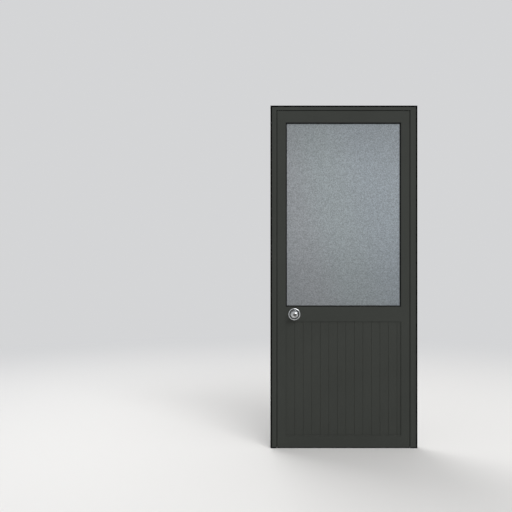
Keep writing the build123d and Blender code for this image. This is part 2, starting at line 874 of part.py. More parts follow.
def board_section(width, grooved, tongued):
    """A hollow board with chamfered joints, seen from above with its outside face at y = 0."""
    left_edge = [(0, board_chamfer), (board_chamfer, 0)] if grooved else [(0, 0)]
    right_edge = [(width - board_chamfer, 0), (width, board_chamfer)] if tongued else [(width, 0)]
    with BuildSketch() as section:
        with BuildLine():
            Polyline(
                *left_edge,
                *right_edge,
                (width, board_thickness),
                (0, board_thickness),
                close=True,
            )
        make_face()
        if tongued:
            with Locations((width - board_wall / 2, tongue_middle)):
                Rectangle(
                    tongue_length + board_wall / 2,
                    tongue_thickness,
                    align=(Align.MIN, Align.CENTER),
                )
        inner_left = board_wall
        if grooved:
            with Locations((0, tongue_middle)):
                Rectangle(
                    groove_reach,
                    tongue_thickness + tongue_clearance,
                    align=(Align.MIN, Align.CENTER),
                    mode=Mode.SUBTRACT,
                )
            inner_left = groove_reach + board_wall
        cell_space = width - board_wall - inner_left
        cells = 2 if cell_space > board_pitch / 2 else 1
        cell = (cell_space - (cells - 1) * board_wall) / cells
        with Locations(
            *[(inner_left + step * (cell + board_wall), board_wall) for step in range(cells)]
        ):
            Rectangle(
                cell, board_thickness - 2 * board_wall, align=LOW_2D, mode=Mode.SUBTRACT
            )
    return section.sketch


def stand_board(section, left):
    """A board of the panel's height with its left edge at a place along the door."""
    with BuildSketch(Plane(origin=(left, front + board_depth, board_bottom))) as profile:
        add(section)
    extrude(profile.sketch, amount=board_top - board_bottom)


with BuildPart() as panel_board_first:
    section = board_section(first_joint - panel_left - board_joint_gap, False, True)
    stand_board(section, panel_left)
write(panel_board_first, "panel_board_first")

with BuildPart() as panel_boards:
    section = board_section(board_pitch - board_joint_gap, True, True)
    for step in range(board_count):
        stand_board(section, first_joint + step * board_pitch)
write(panel_boards, "panel_boards")

with BuildPart() as panel_board_last:
    section = board_section(panel_right - last_joint, True, False)
    stand_board(section, last_joint)
write(panel_board_last, "panel_board_last")

# Hinges

axis_to_plate = hinge_axis_offset - wing_thickness
plate_start = sqrt((knuckle_radius + wing_clearance) ** 2 - axis_to_plate**2) + wing_clearance
leaf_knuckle_height = hinge_height - 2 * (frame_knuckle_height + knuckle_gap)
bush_radius = hinge_pin_radius + running_clearance + bush_wall


def hinge_wing(z, side, width, knuckles, bore_radius, screw_offset):
    """A screw-on wing with its knuckles, each knuckle given by its foot and its height."""
    foot = z - hinge_height / 2

    def plate(start, low, high):
        left, right = sorted((hinge_axis_x + side * start, hinge_axis_x + side * width))
        block((left, back, low), (right, back + wing_thickness, high))

    plate(plate_start, foot, foot + hinge_height)
    for low, height in knuckles:
        plate(wing_root, foot + low, foot + low + height)
        with Locations((hinge_axis_x, hinge_axis_y, foot + low)):
            Cylinder(knuckle_radius, height, align=FOOT)
    with Locations((hinge_axis_x, hinge_axis_y, foot)):
        Cylinder(bore_radius, hinge_height, align=FOOT, mode=Mode.SUBTRACT)
    countersunk_holes(
        [
            (hinge_axis_x + side * screw_offset, back + wing_thickness, z + step * hinge_screw_pitch)
            for step in (-1, 0, 1)
        ],
        (0, 1, 0),
        hinge_screw_head_radius,
        hinge_screw_radius,
        2 * wing_thickness,
    )


frame_knuckles = [
    (0, frame_knuckle_height),
    (hinge_height - frame_knuckle_height, frame_knuckle_height),
]
leaf_knuckles = [(frame_knuckle_height + knuckle_gap, leaf_knuckle_height)]
for place, z in hinge_places.items():
    with BuildPart() as frame_wing:
        pin_fit = hinge_pin_radius + press_clearance
        hinge_wing(z, 1, frame_wing_width, frame_knuckles, pin_fit, frame_screw_offset)
    write(frame_wing, f"hinge_frame_wing_{place}")

    with BuildPart() as leaf_wing:
        bush_fit = bush_radius + press_clearance
        hinge_wing(z, -1, leaf_wing_width, leaf_knuckles, bush_fit, leaf_screw_offset)
    write(leaf_wing, f"hinge_leaf_wing_{place}")

with BuildPart() as hinge_pins:
    for z in hinge_places.values():
        with Locations((hinge_axis_x, hinge_axis_y, z - hinge_height / 2)):
            Cylinder(hinge_pin_radius, hinge_height, align=FOOT)
        with Locations((hinge_axis_x, hinge_axis_y, z + hinge_height / 2)):
            Cylinder(hinge_pin_head_radius, hinge_pin_head_height, align=FOOT)
write(hinge_pins, "hinge_pins")

with BuildPart() as hinge_bushes:
    flange_height = knuckle_gap - thrust_clearance
    for z in hinge_places.values():
        for side in (-1, 1):
            seat = (hinge_axis_x, hinge_axis_y, z + side * leaf_knuckle_height / 2)
            with Locations(Plane(origin=seat, z_dir=(0, 0, side))):
                Cylinder(knuckle_radius - press_clearance, flange_height, align=FOOT)
            with Locations(Plane(origin=seat, z_dir=(0, 0, -side))):
                Cylinder(bush_radius, bush_length, align=FOOT)
        with Locations((hinge_axis_x, hinge_axis_y, z - hinge_height / 2)):
            Cylinder(
                hinge_pin_radius + running_clearance, hinge_height, align=FOOT, mode=Mode.SUBTRACT
            )
write(hinge_bushes, "hinge_bushes")

for name, places in (
    ("hinge_frame_screws", frame_screw_places),
    ("hinge_leaf_screws", leaf_screw_places),
):
    with BuildPart() as hinge_screws:
        countersunk_screws(
            places, (0, -1, 0), hinge_screw_head_radius, hinge_screw_radius, hinge_screw_length
        )
    write(hinge_screws, name)

# Knob lock. Outside and inside trim are alike but for the key plug and the turn button.

knob_axis = Axis((knob_x, 0, knob_z), (0, 1, 0))
through_bolt_places = [(knob_x, knob_z + side * through_bolt_offset) for side in (-1, 1)]
chassis_length = system_depth - 2 * wall


def trim_plane(side):
    """A plane through the knob's axis with x across it and y away from the leaf."""
    origin = (knob_x, side * system_depth / 2, knob_z)
    return Plane(origin=origin, x_dir=(1, 0, 0), z_dir=(0, 0, side))


def turn_rose(side):
    """A round rose with a rolled rim, a coved well and a collar round the knob's neck."""
    bore = knob_neck_radius + rose_clearance
    with BuildSketch(trim_plane(side)) as profile:
        with BuildLine():
            outside = Line((rose_radius, 0), (rose_radius, rose_height - rose_rim))
            rim = RadiusArc(outside @ 1, (rose_radius - rose_rim, rose_height), -rose_rim)
            crown = Line(rim @ 1, (rose_crown_radius, rose_height))
            cove = RadiusArc(crown @ 1, (rose_well_radius, rose_well_height), rose_cove_radius)
            well = Line(cove @ 1, (rose_collar_radius, rose_well_height))
            collar = Line(well @ 1, (rose_collar_radius, rose_collar_height))
            collar_top = Line(collar @ 1, (bore, rose_collar_height))
            neck_wall = Line(collar_top @ 1, (bore, 0))
            Line(neck_wall @ 1, outside @ 0)
        make_face()
    revolve(profile.sketch, axis=knob_axis)
    for x, z in through_bolt_places:
        start = (x, side * system_depth / 2, z)
        with Locations(Plane(origin=start, z_dir=(0, side, 0))):
            Cylinder(
                through_bolt_radius + screw_clearance,
                through_bolt_reach,
                align=FOOT,
                mode=Mode.SUBTRACT,
            )


def turn_knob(side, core_radius, core_length):
    """A flared hollow knob: a dished face, a core tube for its plug and a square socket."""
    rim_radius = knob_head_radius - knob_rim_set
    rim_top = knob_rim_height + knob_rim_thickness
    dish_floor = knob_projection - knob_dish_depth
    with BuildSketch(trim_plane(side)) as profile:
        with BuildLine():
            foot = Line((0, -knob_sleeve_insertion), (knob_sleeve_radius, -knob_sleeve_insertion))
            sleeve = Line(foot @ 1, (knob_sleeve_radius, 0))
            step = Line(sleeve @ 1, (knob_neck_radius, 0))
            neck = Line(step @ 1, (knob_neck_radius, knob_neck_length))
            flare = TangentArc(neck @ 1, (rim_radius, knob_rim_height), tangent=(0, 1))
            rim = ThreePointArc(
                flare @ 1,
                (knob_head_radius, knob_rim_height + knob_rim_thickness / 2),
                (rim_radius, rim_top),
            )
            dome = RadiusArc(rim @ 1, (knob_face_radius, knob_projection), -knob_dome_radius)
            dish = Line(dome @ 1, (knob_dish_radius, dish_floor))
            face = Line(dish @ 1, (0, dish_floor))
            Line(face @ 1, foot @ 0)
        make_face()
    revolve(profile.sketch, axis=knob_axis)
    hollow_floor = spindle_depth - knob_sleeve_insertion + screw_clearance + knob_wall
    core_end = dish_floor - core_length
    core_outside = core_radius + knob_core_wall
    with BuildSketch(trim_plane(side)) as inside:
        with BuildLine():
            floor_line = Line((0, hollow_floor), (knob_neck_radius - knob_wall, hollow_floor))
            flank = TangentArc(
                floor_line @ 1, (rim_radius - knob_wall, knob_rim_height), tangent=(0, 1)
            )
            side_wall = Line(flank @ 1, (rim_radius - knob_wall, rim_top - knob_wall / 2))
            ceiling = RadiusArc(
                side_wall @ 1,
                (knob_face_radius, knob_projection - knob_dish_depth - knob_wall),
                -(knob_dome_radius - knob_wall),
            )
            ledge = Line(ceiling @ 1, (core_outside, dish_floor - knob_wall))
            core_side = Line(ledge @ 1, (core_outside, core_end))
            core_foot = Line(core_side @ 1, (0, core_end))
            Line(core_foot @ 1, floor_line @ 0)
        make_face()
    revolve(inside.sketch, axis=knob_axis, mode=Mode.SUBTRACT)
    mouth = (knob_x, side * (system_depth / 2 + dish_floor), knob_z)
    with Locations(Plane(origin=mouth, z_dir=(0, -side, 0))):
        Cylinder(core_radius, core_length + knob_wall, align=FOOT, mode=Mode.SUBTRACT)
    socket = (knob_x, side * (system_depth / 2 - knob_sleeve_insertion), knob_z)
    with Locations(Plane(origin=socket, z_dir=(0, side, 0))):
        Box(
            spindle_size + 2 * screw_clearance,
            spindle_size + 2 * screw_clearance,
            spindle_depth + screw_clearance,
            align=FOOT,
            mode=Mode.SUBTRACT,
        )


for side, place in ((-1, "outside"), (1, "inside")):
    with BuildPart() as rose:
        turn_rose(side)
    write(rose, f"rose_{place}")

with BuildPart() as knob_outside:
    turn_knob(-1, key_plug_radius + running_clearance, key_plug_length - key_plug_stand)
write(knob_outside, "knob_outside")

with BuildPart() as knob_inside:
    turn_knob(1, turn_stem_radius + running_clearance, turn_stem_length - knob_dish_depth)
write(knob_inside, "knob_inside")

with BuildPart() as key_plug:
    dish_face_y = system_depth / 2 + knob_projection - knob_dish_depth
    plug_face = (knob_x, -dish_face_y - key_plug_stand, knob_z)
    with Locations(Plane(origin=plug_face, z_dir=(0, 1, 0))):
        Cylinder(key_plug_radius, key_plug_length - thrust_clearance, align=FOOT)
    chamfer(key_plug.edges().filter_by(GeomType.CIRCLE).sort_by(Axis.Y)[0], key_plug_stand / 2)
    with Locations(plug_face):
        Box(
            keyway_width,
            2 * (key_plug_length - 2 * key_plug_stand),
            keyway_height,
            mode=Mode.SUBTRACT,
        )
write(key_plug, "key_plug")

with BuildPart() as turn_button:
    button_seat = system_depth / 2 + knob_projection
    stem_foot = (knob_x, button_seat - turn_stem_length + thrust_clearance, knob_z)
    with Locations(Plane(origin=stem_foot, z_dir=(0, 1, 0))):
        Cylinder(turn_stem_radius, turn_stem_length + turn_button_gap, align=FOOT)
    with BuildSketch(Plane.XZ.offset(-button_seat - turn_button_gap)) as grip:
        with Locations((knob_x, knob_z)):
            SlotOverall(turn_button_length, turn_button_thickness, rotation=90)
    extrude(grip.sketch, amount=-turn_button_height)
    fillet(turn_button.faces().sort_by(Axis.Y)[-1].edges(), turn_button_thickness / 6)
write(turn_button, "turn_button")

with BuildPart() as knob_spindle:
    spindle_reach = system_depth / 2 - knob_sleeve_insertion + spindle_depth
    with Locations((knob_x, 0, knob_z)):
        Box(spindle_size, 2 * spindle_reach, spindle_size)
write(knob_spindle, "knob_spindle")

with BuildPart() as lock_chassis:
    with Locations(Plane(origin=(knob_x, -system_depth / 2, knob_z), z_dir=(0, 1, 0))):
        Cylinder(chassis_radius, system_depth, align=FOOT)
        Cylinder(
            knob_sleeve_radius + running_clearance, system_depth, align=FOOT, mode=Mode.SUBTRACT
        )
    drill(
        [(x, -system_depth / 2, z) for x, z in through_bolt_places],
        (0, 1, 0),
        through_bolt_radius + screw_clearance,
        system_depth,
    )
    block(
        (
            knob_x - chassis_radius,
            -latch_tail_thickness / 2 - latch_clearance,
            knob_z - latch_tail_height / 2 - latch_clearance,
        ),
        (
            knob_x,
            latch_tail_thickness / 2 + latch_clearance,
            knob_z + latch_tail_height / 2 + latch_clearance,
        ),
        mode=Mode.SUBTRACT,
    )
write(lock_chassis, "lock_chassis")

with BuildPart() as lock_through_bolts:
    bolt_reach = system_depth / 2 + through_bolt_reach
    with Locations(
        *[Plane(origin=(x, -bolt_reach, z), z_dir=(0, 1, 0)) for x, z in through_bolt_places]
    ):
        Cylinder(through_bolt_radius, 2 * bolt_reach, align=FOOT)
write(lock_through_bolts, "lock_through_bolts")

# Latch. The bolt stands drawn back, with its nose level with the faceplate.

nose_x = leaf_edge_x - faceplate_thickness
case_end_x = knob_x - chassis_radius
bolt_end_x = nose_x + latch_bolt_length
tail_end_x = knob_x - knob_sleeve_radius - latch_tail_gap
nose_opening = (latch_bolt_width / 2 + latch_clearance, latch_bolt_height / 2 + latch_clearance)
spring_seat_x = case_end_x - latch_case_wall

with BuildPart() as latch_case:
    with Locations(Plane(origin=(leaf_edge_x, 0, knob_z), z_dir=(1, 0, 0))):
        Cylinder(latch_case_radius, case_end_x - leaf_edge_x, align=FOOT)
    block(
        (leaf_edge_x, -nose_opening[0], knob_z - nose_opening[1]),
        (bolt_end_x, nose_opening[0], knob_z + nose_opening[1]),
        mode=Mode.SUBTRACT,
    )
    drill(
        [(bolt_end_x, 0, knob_z)],
        (1, 0, 0),
        latch_case_radius - latch_case_wall,
        spring_seat_x - bolt_end_x,
    )
    block(
        (
            spring_seat_x,
            -latch_tail_thickness / 2 - latch_clearance,
            knob_z - latch_tail_height / 2 - latch_clearance,
        ),
        (
            case_end_x,
            latch_tail_thickness / 2 + latch_clearance,
            knob_z + latch_tail_height / 2 + latch_clearance,
        ),
        mode=Mode.SUBTRACT,
    )
write(latch_case, "latch_case")

with BuildPart() as latch_bolt:
    with BuildSketch(Plane.XY.offset(knob_z - latch_bolt_height / 2)) as bolt_plan:
        with BuildLine():
            Polyline(
                (nose_x, latch_bolt_width / 2),
                (nose_x, latch_bolt_width / 2 - latch_bolt_flat),
                (nose_x + latch_throw - latch_bolt_flat, -latch_bolt_width / 2),
                (bolt_end_x, -latch_bolt_width / 2),
                (bolt_end_x, latch_bolt_width / 2),
                close=True,
            )
        make_face()
    extrude(bolt_plan.sketch, amount=latch_bolt_height)
    block(
        (bolt_end_x, -latch_tail_thickness / 2, knob_z - latch_tail_height / 2),
        (tail_end_x, latch_tail_thickness / 2, knob_z + latch_tail_height / 2),
    )
write(latch_bolt, "latch_bolt")

with BuildPart() as latch_spring:
    spring_room = 2 * (spring_wire_radius + screw_clearance)
    spring_length = spring_seat_x - bolt_end_x - spring_room
    coil = Helix(
        pitch=spring_length / spring_turns,
        height=spring_length,
        radius=spring_radius,
        center=(bolt_end_x + spring_room / 2, 0, knob_z),
        direction=(1, 0, 0),
    )
    with BuildSketch(Plane(origin=coil @ 0, z_dir=coil % 0)) as wire:
        RegularPolygon(spring_wire_radius, 6)
    sweep(wire.sketch, path=coil)
write(latch_spring, "latch_spring")

with BuildPart() as latch_faceplate:
    with BuildSketch(Plane(origin=(leaf_edge_x, 0, knob_z), x_dir=(0, 1, 0), z_dir=(-1, 0, 0))) as plate:
        RectangleRounded(faceplate_width, faceplate_height, plate_corner_radius)
        Rectangle(2 * nose_opening[0], 2 * nose_opening[1], mode=Mode.SUBTRACT)
    extrude(plate.sketch, amount=faceplate_thickness)
    drill(faceplate_screw_places, (1, 0, 0), lock_screw_radius + screw_clearance, faceplate_thickness)
write(latch_faceplate, "latch_faceplate")

with BuildPart() as strike_plate:
    strike_plane = Plane(origin=(lock_rebate_x, 0, knob_z), x_dir=(0, 1, 0), z_dir=(1, 0, 0))
    with BuildSketch(strike_plane) as plate:
        RectangleRounded(strike_width, strike_height, plate_corner_radius)
        Rectangle(2 * strike_opening[0], 2 * strike_opening[1], mode=Mode.SUBTRACT)
    extrude(plate.sketch, amount=strike_thickness)
    # the lip runs to the jamb's inside edge and bends away, so that the bolt rides in over it
    with BuildSketch(Plane.XY.offset(knob_z - strike_lip_height / 2)) as lip:
        strike_face_x = lock_rebate_x + strike_thickness
        bend_centre = (lock_rebate_x - strike_lip_bend, back)
        outer_bend = strike_lip_bend + strike_thickness
        with BuildLine():
            run_out = Line((strike_face_x, strike_width / 2), (strike_face_x, back))
            outer = CenterArc(bend_centre, outer_bend, 0, strike_lip_angle)
            inner = CenterArc(bend_centre, strike_lip_bend, 0, strike_lip_angle)
            Line(outer @ 1, inner @ 1)
            seat = Line(inner @ 0, (lock_rebate_x, strike_width / 2))
            Line(seat @ 1, run_out @ 0)
        make_face()
    extrude(lip.sketch, amount=strike_lip_height)
    drill(strike_screw_places, (-1, 0, 0), lock_screw_radius + screw_clearance, strike_thickness)
write(strike_plate, "strike_plate")

for name, places, into in (
    ("faceplate_screws", faceplate_screw_places, (1, 0, 0)),
    ("strike_screws", strike_screw_places, (-1, 0, 0)),
):
    with BuildPart() as lock_screws:
        with Locations(*[Plane(origin=place, z_dir=into) for place in places]):
            Cylinder(lock_screw_radius, lock_screw_length, align=FOOT)
        with Locations(*[Plane(origin=place, z_dir=tuple(-Vector(*into))) for place in places]):
            Cylinder(lock_screw_head_radius, lock_screw_head_height, align=FOOT)
    write(lock_screws, name)
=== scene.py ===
from math import asin, atan2, cos, pi, radians, sin, sqrt

import bmesh
import bpy
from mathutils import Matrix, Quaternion, Vector


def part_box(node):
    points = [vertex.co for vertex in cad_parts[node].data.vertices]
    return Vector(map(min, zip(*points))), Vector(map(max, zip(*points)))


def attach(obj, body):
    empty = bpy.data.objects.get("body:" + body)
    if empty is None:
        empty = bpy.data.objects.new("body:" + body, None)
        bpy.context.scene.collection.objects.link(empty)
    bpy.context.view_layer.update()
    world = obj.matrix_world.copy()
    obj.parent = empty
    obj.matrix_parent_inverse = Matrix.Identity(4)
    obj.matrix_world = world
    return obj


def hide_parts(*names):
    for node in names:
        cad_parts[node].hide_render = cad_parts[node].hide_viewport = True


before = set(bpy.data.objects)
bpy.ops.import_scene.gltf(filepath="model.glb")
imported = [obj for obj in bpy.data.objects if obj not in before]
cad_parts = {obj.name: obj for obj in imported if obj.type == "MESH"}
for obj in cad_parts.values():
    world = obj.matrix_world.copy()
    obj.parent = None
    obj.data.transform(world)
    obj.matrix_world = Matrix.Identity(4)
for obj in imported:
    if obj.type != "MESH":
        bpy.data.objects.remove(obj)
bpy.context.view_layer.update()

# Jambs and head: aluminium extrusions with a dark grey-green powder coat, baked on before the
# lengths were cut. They are screwed together at the corners, and the coat hides the metal on
# every face that shows.

coat_dark = (0.0310, 0.0337, 0.0295)
coat_light = (0.0338, 0.0366, 0.0321)
coat_roughness = (0.56, 0.66)
coat_specular = 0.15
peel_per_metre = 900
peel_strength = 0.25
peel_depth = 0.00012
clouds_per_metre = 3.5
most_of_noise = (0.3, 0.7)
dust_colour = (0.23, 0.22, 0.20)
dust_amount = 0.25
dust_slope = (0.55, 1.0)
dust_patches_per_metre = 60
dust_thickness = (0.4, 1)


def new_finish(name, roughness, metallic=0.0):
    """A material, its shader and the coordinates of the piece it is on."""
    finish = bpy.data.materials.new(name)
    finish.use_nodes = True
    shader = finish.node_tree.nodes["Principled BSDF"]
    shader.inputs["Roughness"].default_value = roughness
    shader.inputs["Metallic"].default_value = metallic
    place = finish.node_tree.nodes.new("ShaderNodeTexCoord").outputs["Object"]
    return finish, shader, place


def new_effect(name, inputs, outputs):
    """A shader group with its named sockets, and its input and output nodes."""
    effect = bpy.data.node_groups.new(name, "ShaderNodeTree")
    for socket, kind in inputs:
        effect.interface.new_socket(socket, in_out="INPUT", socket_type=kind)
    for socket in outputs:
        effect.interface.new_socket(socket, in_out="OUTPUT", socket_type="NodeSocketFloat")
    return effect, effect.nodes.new("NodeGroupInput"), effect.nodes.new("NodeGroupOutput")


def put_effect(finish, effect, place, **values):
    """The effect as a node in a material, fed with the piece's coordinates and its own values."""
    node = finish.node_tree.nodes.new("ShaderNodeGroup")
    node.node_tree = effect
    finish.node_tree.links.new(place, node.inputs["Place"])
    for socket, value in values.items():
        node.inputs[socket].default_value = value
    return node


def noise(tree, place, per_metre, detail=2.0):
    """A noise field of that many lumps to the metre, or with a socket's number of them."""
    field = tree.nodes.new("ShaderNodeTexNoise")
    field.inputs["Detail"].default_value = detail
    tree.links.new(place, field.inputs["Vector"])
    if isinstance(per_metre, (int, float)):
        field.inputs["Scale"].default_value = per_metre
    else:
        tree.links.new(per_metre, field.inputs["Scale"])
    return field.outputs["Fac"]


def spread(tree, value, source, target):
    """A value mapped smoothly from one range to another and held inside it."""
    node = tree.nodes.new("ShaderNodeMapRange")
    node.interpolation_type = "SMOOTHSTEP"
    tree.links.new(value, node.inputs["Value"])
    for socket, number in zip(("From Min", "From Max", "To Min", "To Max"), (*source, *target)):
        node.inputs[socket].default_value = number
    return node.outputs["Result"]


def combined(tree, operation, first, second):
    """Two values put together, as their product or as the larger of the two."""
    node = tree.nodes.new("ShaderNodeMath")
    node.operation = operation
    tree.links.new(first, node.inputs[0])
    tree.links.new(second, node.inputs[1])
    return node.outputs["Value"]


def blend_colours(tree, mask, low, high, how="MIX"):
    """Two colours, or a colour socket and a colour, blended by a mask."""
    node = tree.nodes.new("ShaderNodeMix")
    node.data_type = "RGBA"
    node.blend_type = how
    tree.links.new(mask, node.inputs["Factor"])
    first_colour, second_colour, blended = node.inputs[6], node.inputs[7], node.outputs[2]
    for socket, colour in ((first_colour, low), (second_colour, high)):
        if isinstance(colour, tuple):
            socket.default_value = (*colour, 1)
        else:
            tree.links.new(colour, socket)
    return blended


def raise_bumps(tree, height, shader, strength, distance):
    """Lets a height field tilt the surface, with its depth in metres."""
    bump = tree.nodes.new("ShaderNodeBump")
    bump.inputs["Strength"].default_value = strength
    bump.inputs["Distance"].default_value = distance
    tree.links.new(height, bump.inputs["Height"])
    tree.links.new(bump.outputs["Normal"], shader.inputs["Normal"])


def dress(finish, *nodes):
    """Gives the finish to carried-over nodes."""
    for node in nodes:
        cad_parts[node].data.materials[0] = finish


orange_peel, taken, given = new_effect(
    "orange_peel",
    [("Place", "NodeSocketVector"), ("Grain", "NodeSocketFloat"), ("Cloud", "NodeSocketFloat")],
    ["Height", "Tone"],
)
fine = noise(orange_peel, taken.outputs["Place"], taken.outputs["Grain"], detail=1.0)
cloud = noise(orange_peel, taken.outputs["Place"], taken.outputs["Cloud"], detail=4.0)
orange_peel.links.new(fine, given.inputs["Height"])
orange_peel.links.new(spread(orange_peel, cloud, most_of_noise, (0, 1)), given.inputs["Tone"])

settled_dust, taken, given = new_effect(
    "settled_dust", [("Place", "NodeSocketVector"), ("Amount", "NodeSocketFloat")], ["Mask"]
)
facing = settled_dust.nodes.new("ShaderNodeSeparateXYZ")
surface = settled_dust.nodes.new("ShaderNodeNewGeometry")
settled_dust.links.new(surface.outputs["Normal"], facing.inputs["Vector"])
dust_mask = spread(settled_dust, facing.outputs["Z"], dust_slope, (0, 1))
patches = noise(settled_dust, taken.outputs["Place"], dust_patches_per_metre, detail=5.0)
patches = spread(settled_dust, patches, most_of_noise, dust_thickness)
for factor in (patches, taken.outputs["Amount"]):
    dust_mask = combined(settled_dust, "MULTIPLY", dust_mask, factor)
settled_dust.links.new(dust_mask, given.inputs["Mask"])


def powder_coat(name, dark, light):
    """A satin powder coat: an even colour with a faint cloudiness and an orange-peel skin."""
    finish, shader, place = new_finish(name, coat_roughness[0])
    tree = finish.node_tree
    skin = put_effect(finish, orange_peel, place, Grain=peel_per_metre, Cloud=clouds_per_metre)
    dust = put_effect(finish, settled_dust, place, Amount=dust_amount)
    colour = blend_colours(tree, skin.outputs["Tone"], dark, light)
    colour = blend_colours(tree, dust.outputs["Mask"], colour, dust_colour)
    tree.links.new(colour, shader.inputs["Base Color"])
    satin = spread(tree, skin.outputs["Height"], most_of_noise, coat_roughness)
    tree.links.new(satin, shader.inputs["Roughness"])
    shader.inputs["Specular IOR Level"].default_value = coat_specular
    raise_bumps(tree, skin.outputs["Height"], shader, peel_strength, peel_depth)
    return finish


frame_coat = powder_coat("frame_coat", coat_dark, coat_light)
dress(frame_coat, "frame_jamb_lock", "frame_jamb_hinge", "frame_head")

# Corner screws and tie screws: zinc-plated steel, with pan heads. Those of the frame pull the
# head between the jambs, and those of the leaf pull each rail between the stiles.

zinc_dark = (0.42, 0.42, 0.40)
zinc_light = (0.60, 0.60, 0.58)
zinc_roughness = (0.3, 0.45)
zinc_marks_per_metre = 1500
zinc_mark_depth = 0.00003
mark_range = (0.35, 0.65)
mark_strength = 0.3
every_way = (1, 1, 1)

drawn_lines, taken, given = new_effect(
    "drawn_lines",
    [("Place", "NodeSocketVector"), ("Stretch", "NodeSocketVector"), ("Lines", "NodeSocketFloat")],
    ["Height", "Tone"],
)
stretched = drawn_lines.nodes.new("ShaderNodeVectorMath")
stretched.operation = "MULTIPLY"
drawn_lines.links.new(taken.outputs["Place"], stretched.inputs[0])
drawn_lines.links.new(taken.outputs["Stretch"], stretched.inputs[1])
lines = noise(drawn_lines, stretched.outputs["Vector"], taken.outputs["Lines"], detail=3.0)
drawn_lines.links.new(lines, given.inputs["Height"])
drawn_lines.links.new(spread(drawn_lines, lines, mark_range, (0, 1)), given.inputs["Tone"])


def drawn_finish(
    name, dark, light, roughness, stretch, lines_per_metre, depth, metallic=0.0, specular=0.5
):
    """A finish with lines drawn along the piece, as on wiped sealant, rubber or brushed metal."""
    finish, shader, place = new_finish(name, roughness[0], metallic)
    shader.inputs["Specular IOR Level"].default_value = specular
    tree = finish.node_tree
    marks = put_effect(finish, drawn_lines, place, Stretch=stretch, Lines=lines_per_metre)
    colour = blend_colours(tree, marks.outputs["Tone"], dark, light)
    tree.links.new(colour, shader.inputs["Base Color"])
    rubbed = spread(tree, marks.outputs["Height"], most_of_noise, roughness)
    tree.links.new(rubbed, shader.inputs["Roughness"])
    raise_bumps(tree, marks.outputs["Height"], shader, mark_strength, depth)
    return finish


zinc = drawn_finish(
    "zinc_plate", zinc_dark, zinc_light, zinc_roughness, every_way, zinc_marks_per_metre,
    zinc_mark_depth, metallic=1.0,
)
dress(zinc, "frame_corner_screws", "leaf_tie_screws")

# Black seal round the frame: a bead of sealant over foam, tooled flat against the wall, with the
# faint drag marks of the tool along it, and a moulded foot of the same black under each jamb. Its
# black is far darker than sealant's own, as painted shadow of the gap against the wall.

seal_black_and_shadow = (0.0010, 0.0010, 0.0010)
seal_worn_and_shadow = (0.0024, 0.0024, 0.0024)
seal_roughness = (0.85, 0.95)
seal_specular = 0.04
seal_drags_per_metre = 500
seal_drag_depth = 0.0002
upright, level = (1, 1, 0.02), (0.02, 1, 1)

for name, stretch, nodes in (
    ("seal_upright", upright, ("wall_seal_lock", "wall_seal_hinge")),
    ("seal_level", level, ("wall_seal_head",)),
):
    sealant = drawn_finish(
        name, seal_black_and_shadow, seal_worn_and_shadow, seal_roughness, stretch, seal_drags_per_metre,
        seal_drag_depth, specular=seal_specular,
    )
    dress(sealant, *nodes)

# Stop gaskets behind the frame's lip: extruded black rubber bulbs that the leaf closes on, their
# barbs pushed into the groove of each extrusion, with fine draw lines from the die.

# The rubber's black is far darker than rubber's own, as painted shade for the narrow gaps that its
# black lines lie in.
rubber_black_and_shade = (0.0020, 0.0020, 0.0021)
rubber_grey_and_shade = (0.0045, 0.0045, 0.0047)
rubber_roughness = (0.6, 0.75)
rubber_specular = 0.15
rubber_lines_per_metre = 900
rubber_line_depth = 0.0001


def rubber(name, stretch, *nodes):
    """Gives carried-over nodes black rubber, darkened past rubber's own black as painted shade,
    with the die's fine lines along it.
    """
    finish = drawn_finish(
        name, rubber_black_and_shade, rubber_grey_and_shade, rubber_roughness, stretch, rubber_lines_per_metre,
        rubber_line_depth, specular=rubber_specular,
    )
    dress(finish, *nodes)


rubber("stop_rubber_upright", upright, "stop_gasket_lock", "stop_gasket_hinge")
rubber("stop_rubber_level", level, "stop_gasket_head")

# Stiles and rails of the leaf come from the same coated stock as the frame. The stiles run the
# whole height, the rails butt between them, and a rubber strip in the foot of the bottom rail
# wipes the floor.

leaf_coat = powder_coat("leaf_coat", coat_dark, coat_light)
dress(
    leaf_coat,
    "leaf_stile_lock", "leaf_stile_hinge", "leaf_rail_top", "leaf_rail_middle", "leaf_rail_bottom",
)
rubber("floor_rubber", level, "floor_seal")

# Setting blocks under the glass, and the hinges' flanged bushes: moulded black nylon with the
# fine spark-eroded skin of the mould.

nylon_black = (0.011, 0.011, 0.011)
nylon_grey = (0.017, 0.017, 0.017)
nylon_roughness = 0.4
nylon_grain_per_metre = 2500
nylon_grain_strength = 0.3
nylon_grain_depth = 0.0001
nylon_clouds_per_metre = 20

nylon, shader, place = new_finish("black_nylon", nylon_roughness)
tree = nylon.node_tree
skin = put_effect(
    nylon, orange_peel, place, Grain=nylon_grain_per_metre, Cloud=nylon_clouds_per_metre
)
colour = blend_colours(tree, skin.outputs["Tone"], nylon_black, nylon_grey)
tree.links.new(colour, shader.inputs["Base Color"])
raise_bumps(tree, skin.outputs["Height"], shader, nylon_grain_strength, nylon_grain_depth)
dress(nylon, "glass_setting_blocks", "hinge_bushes")
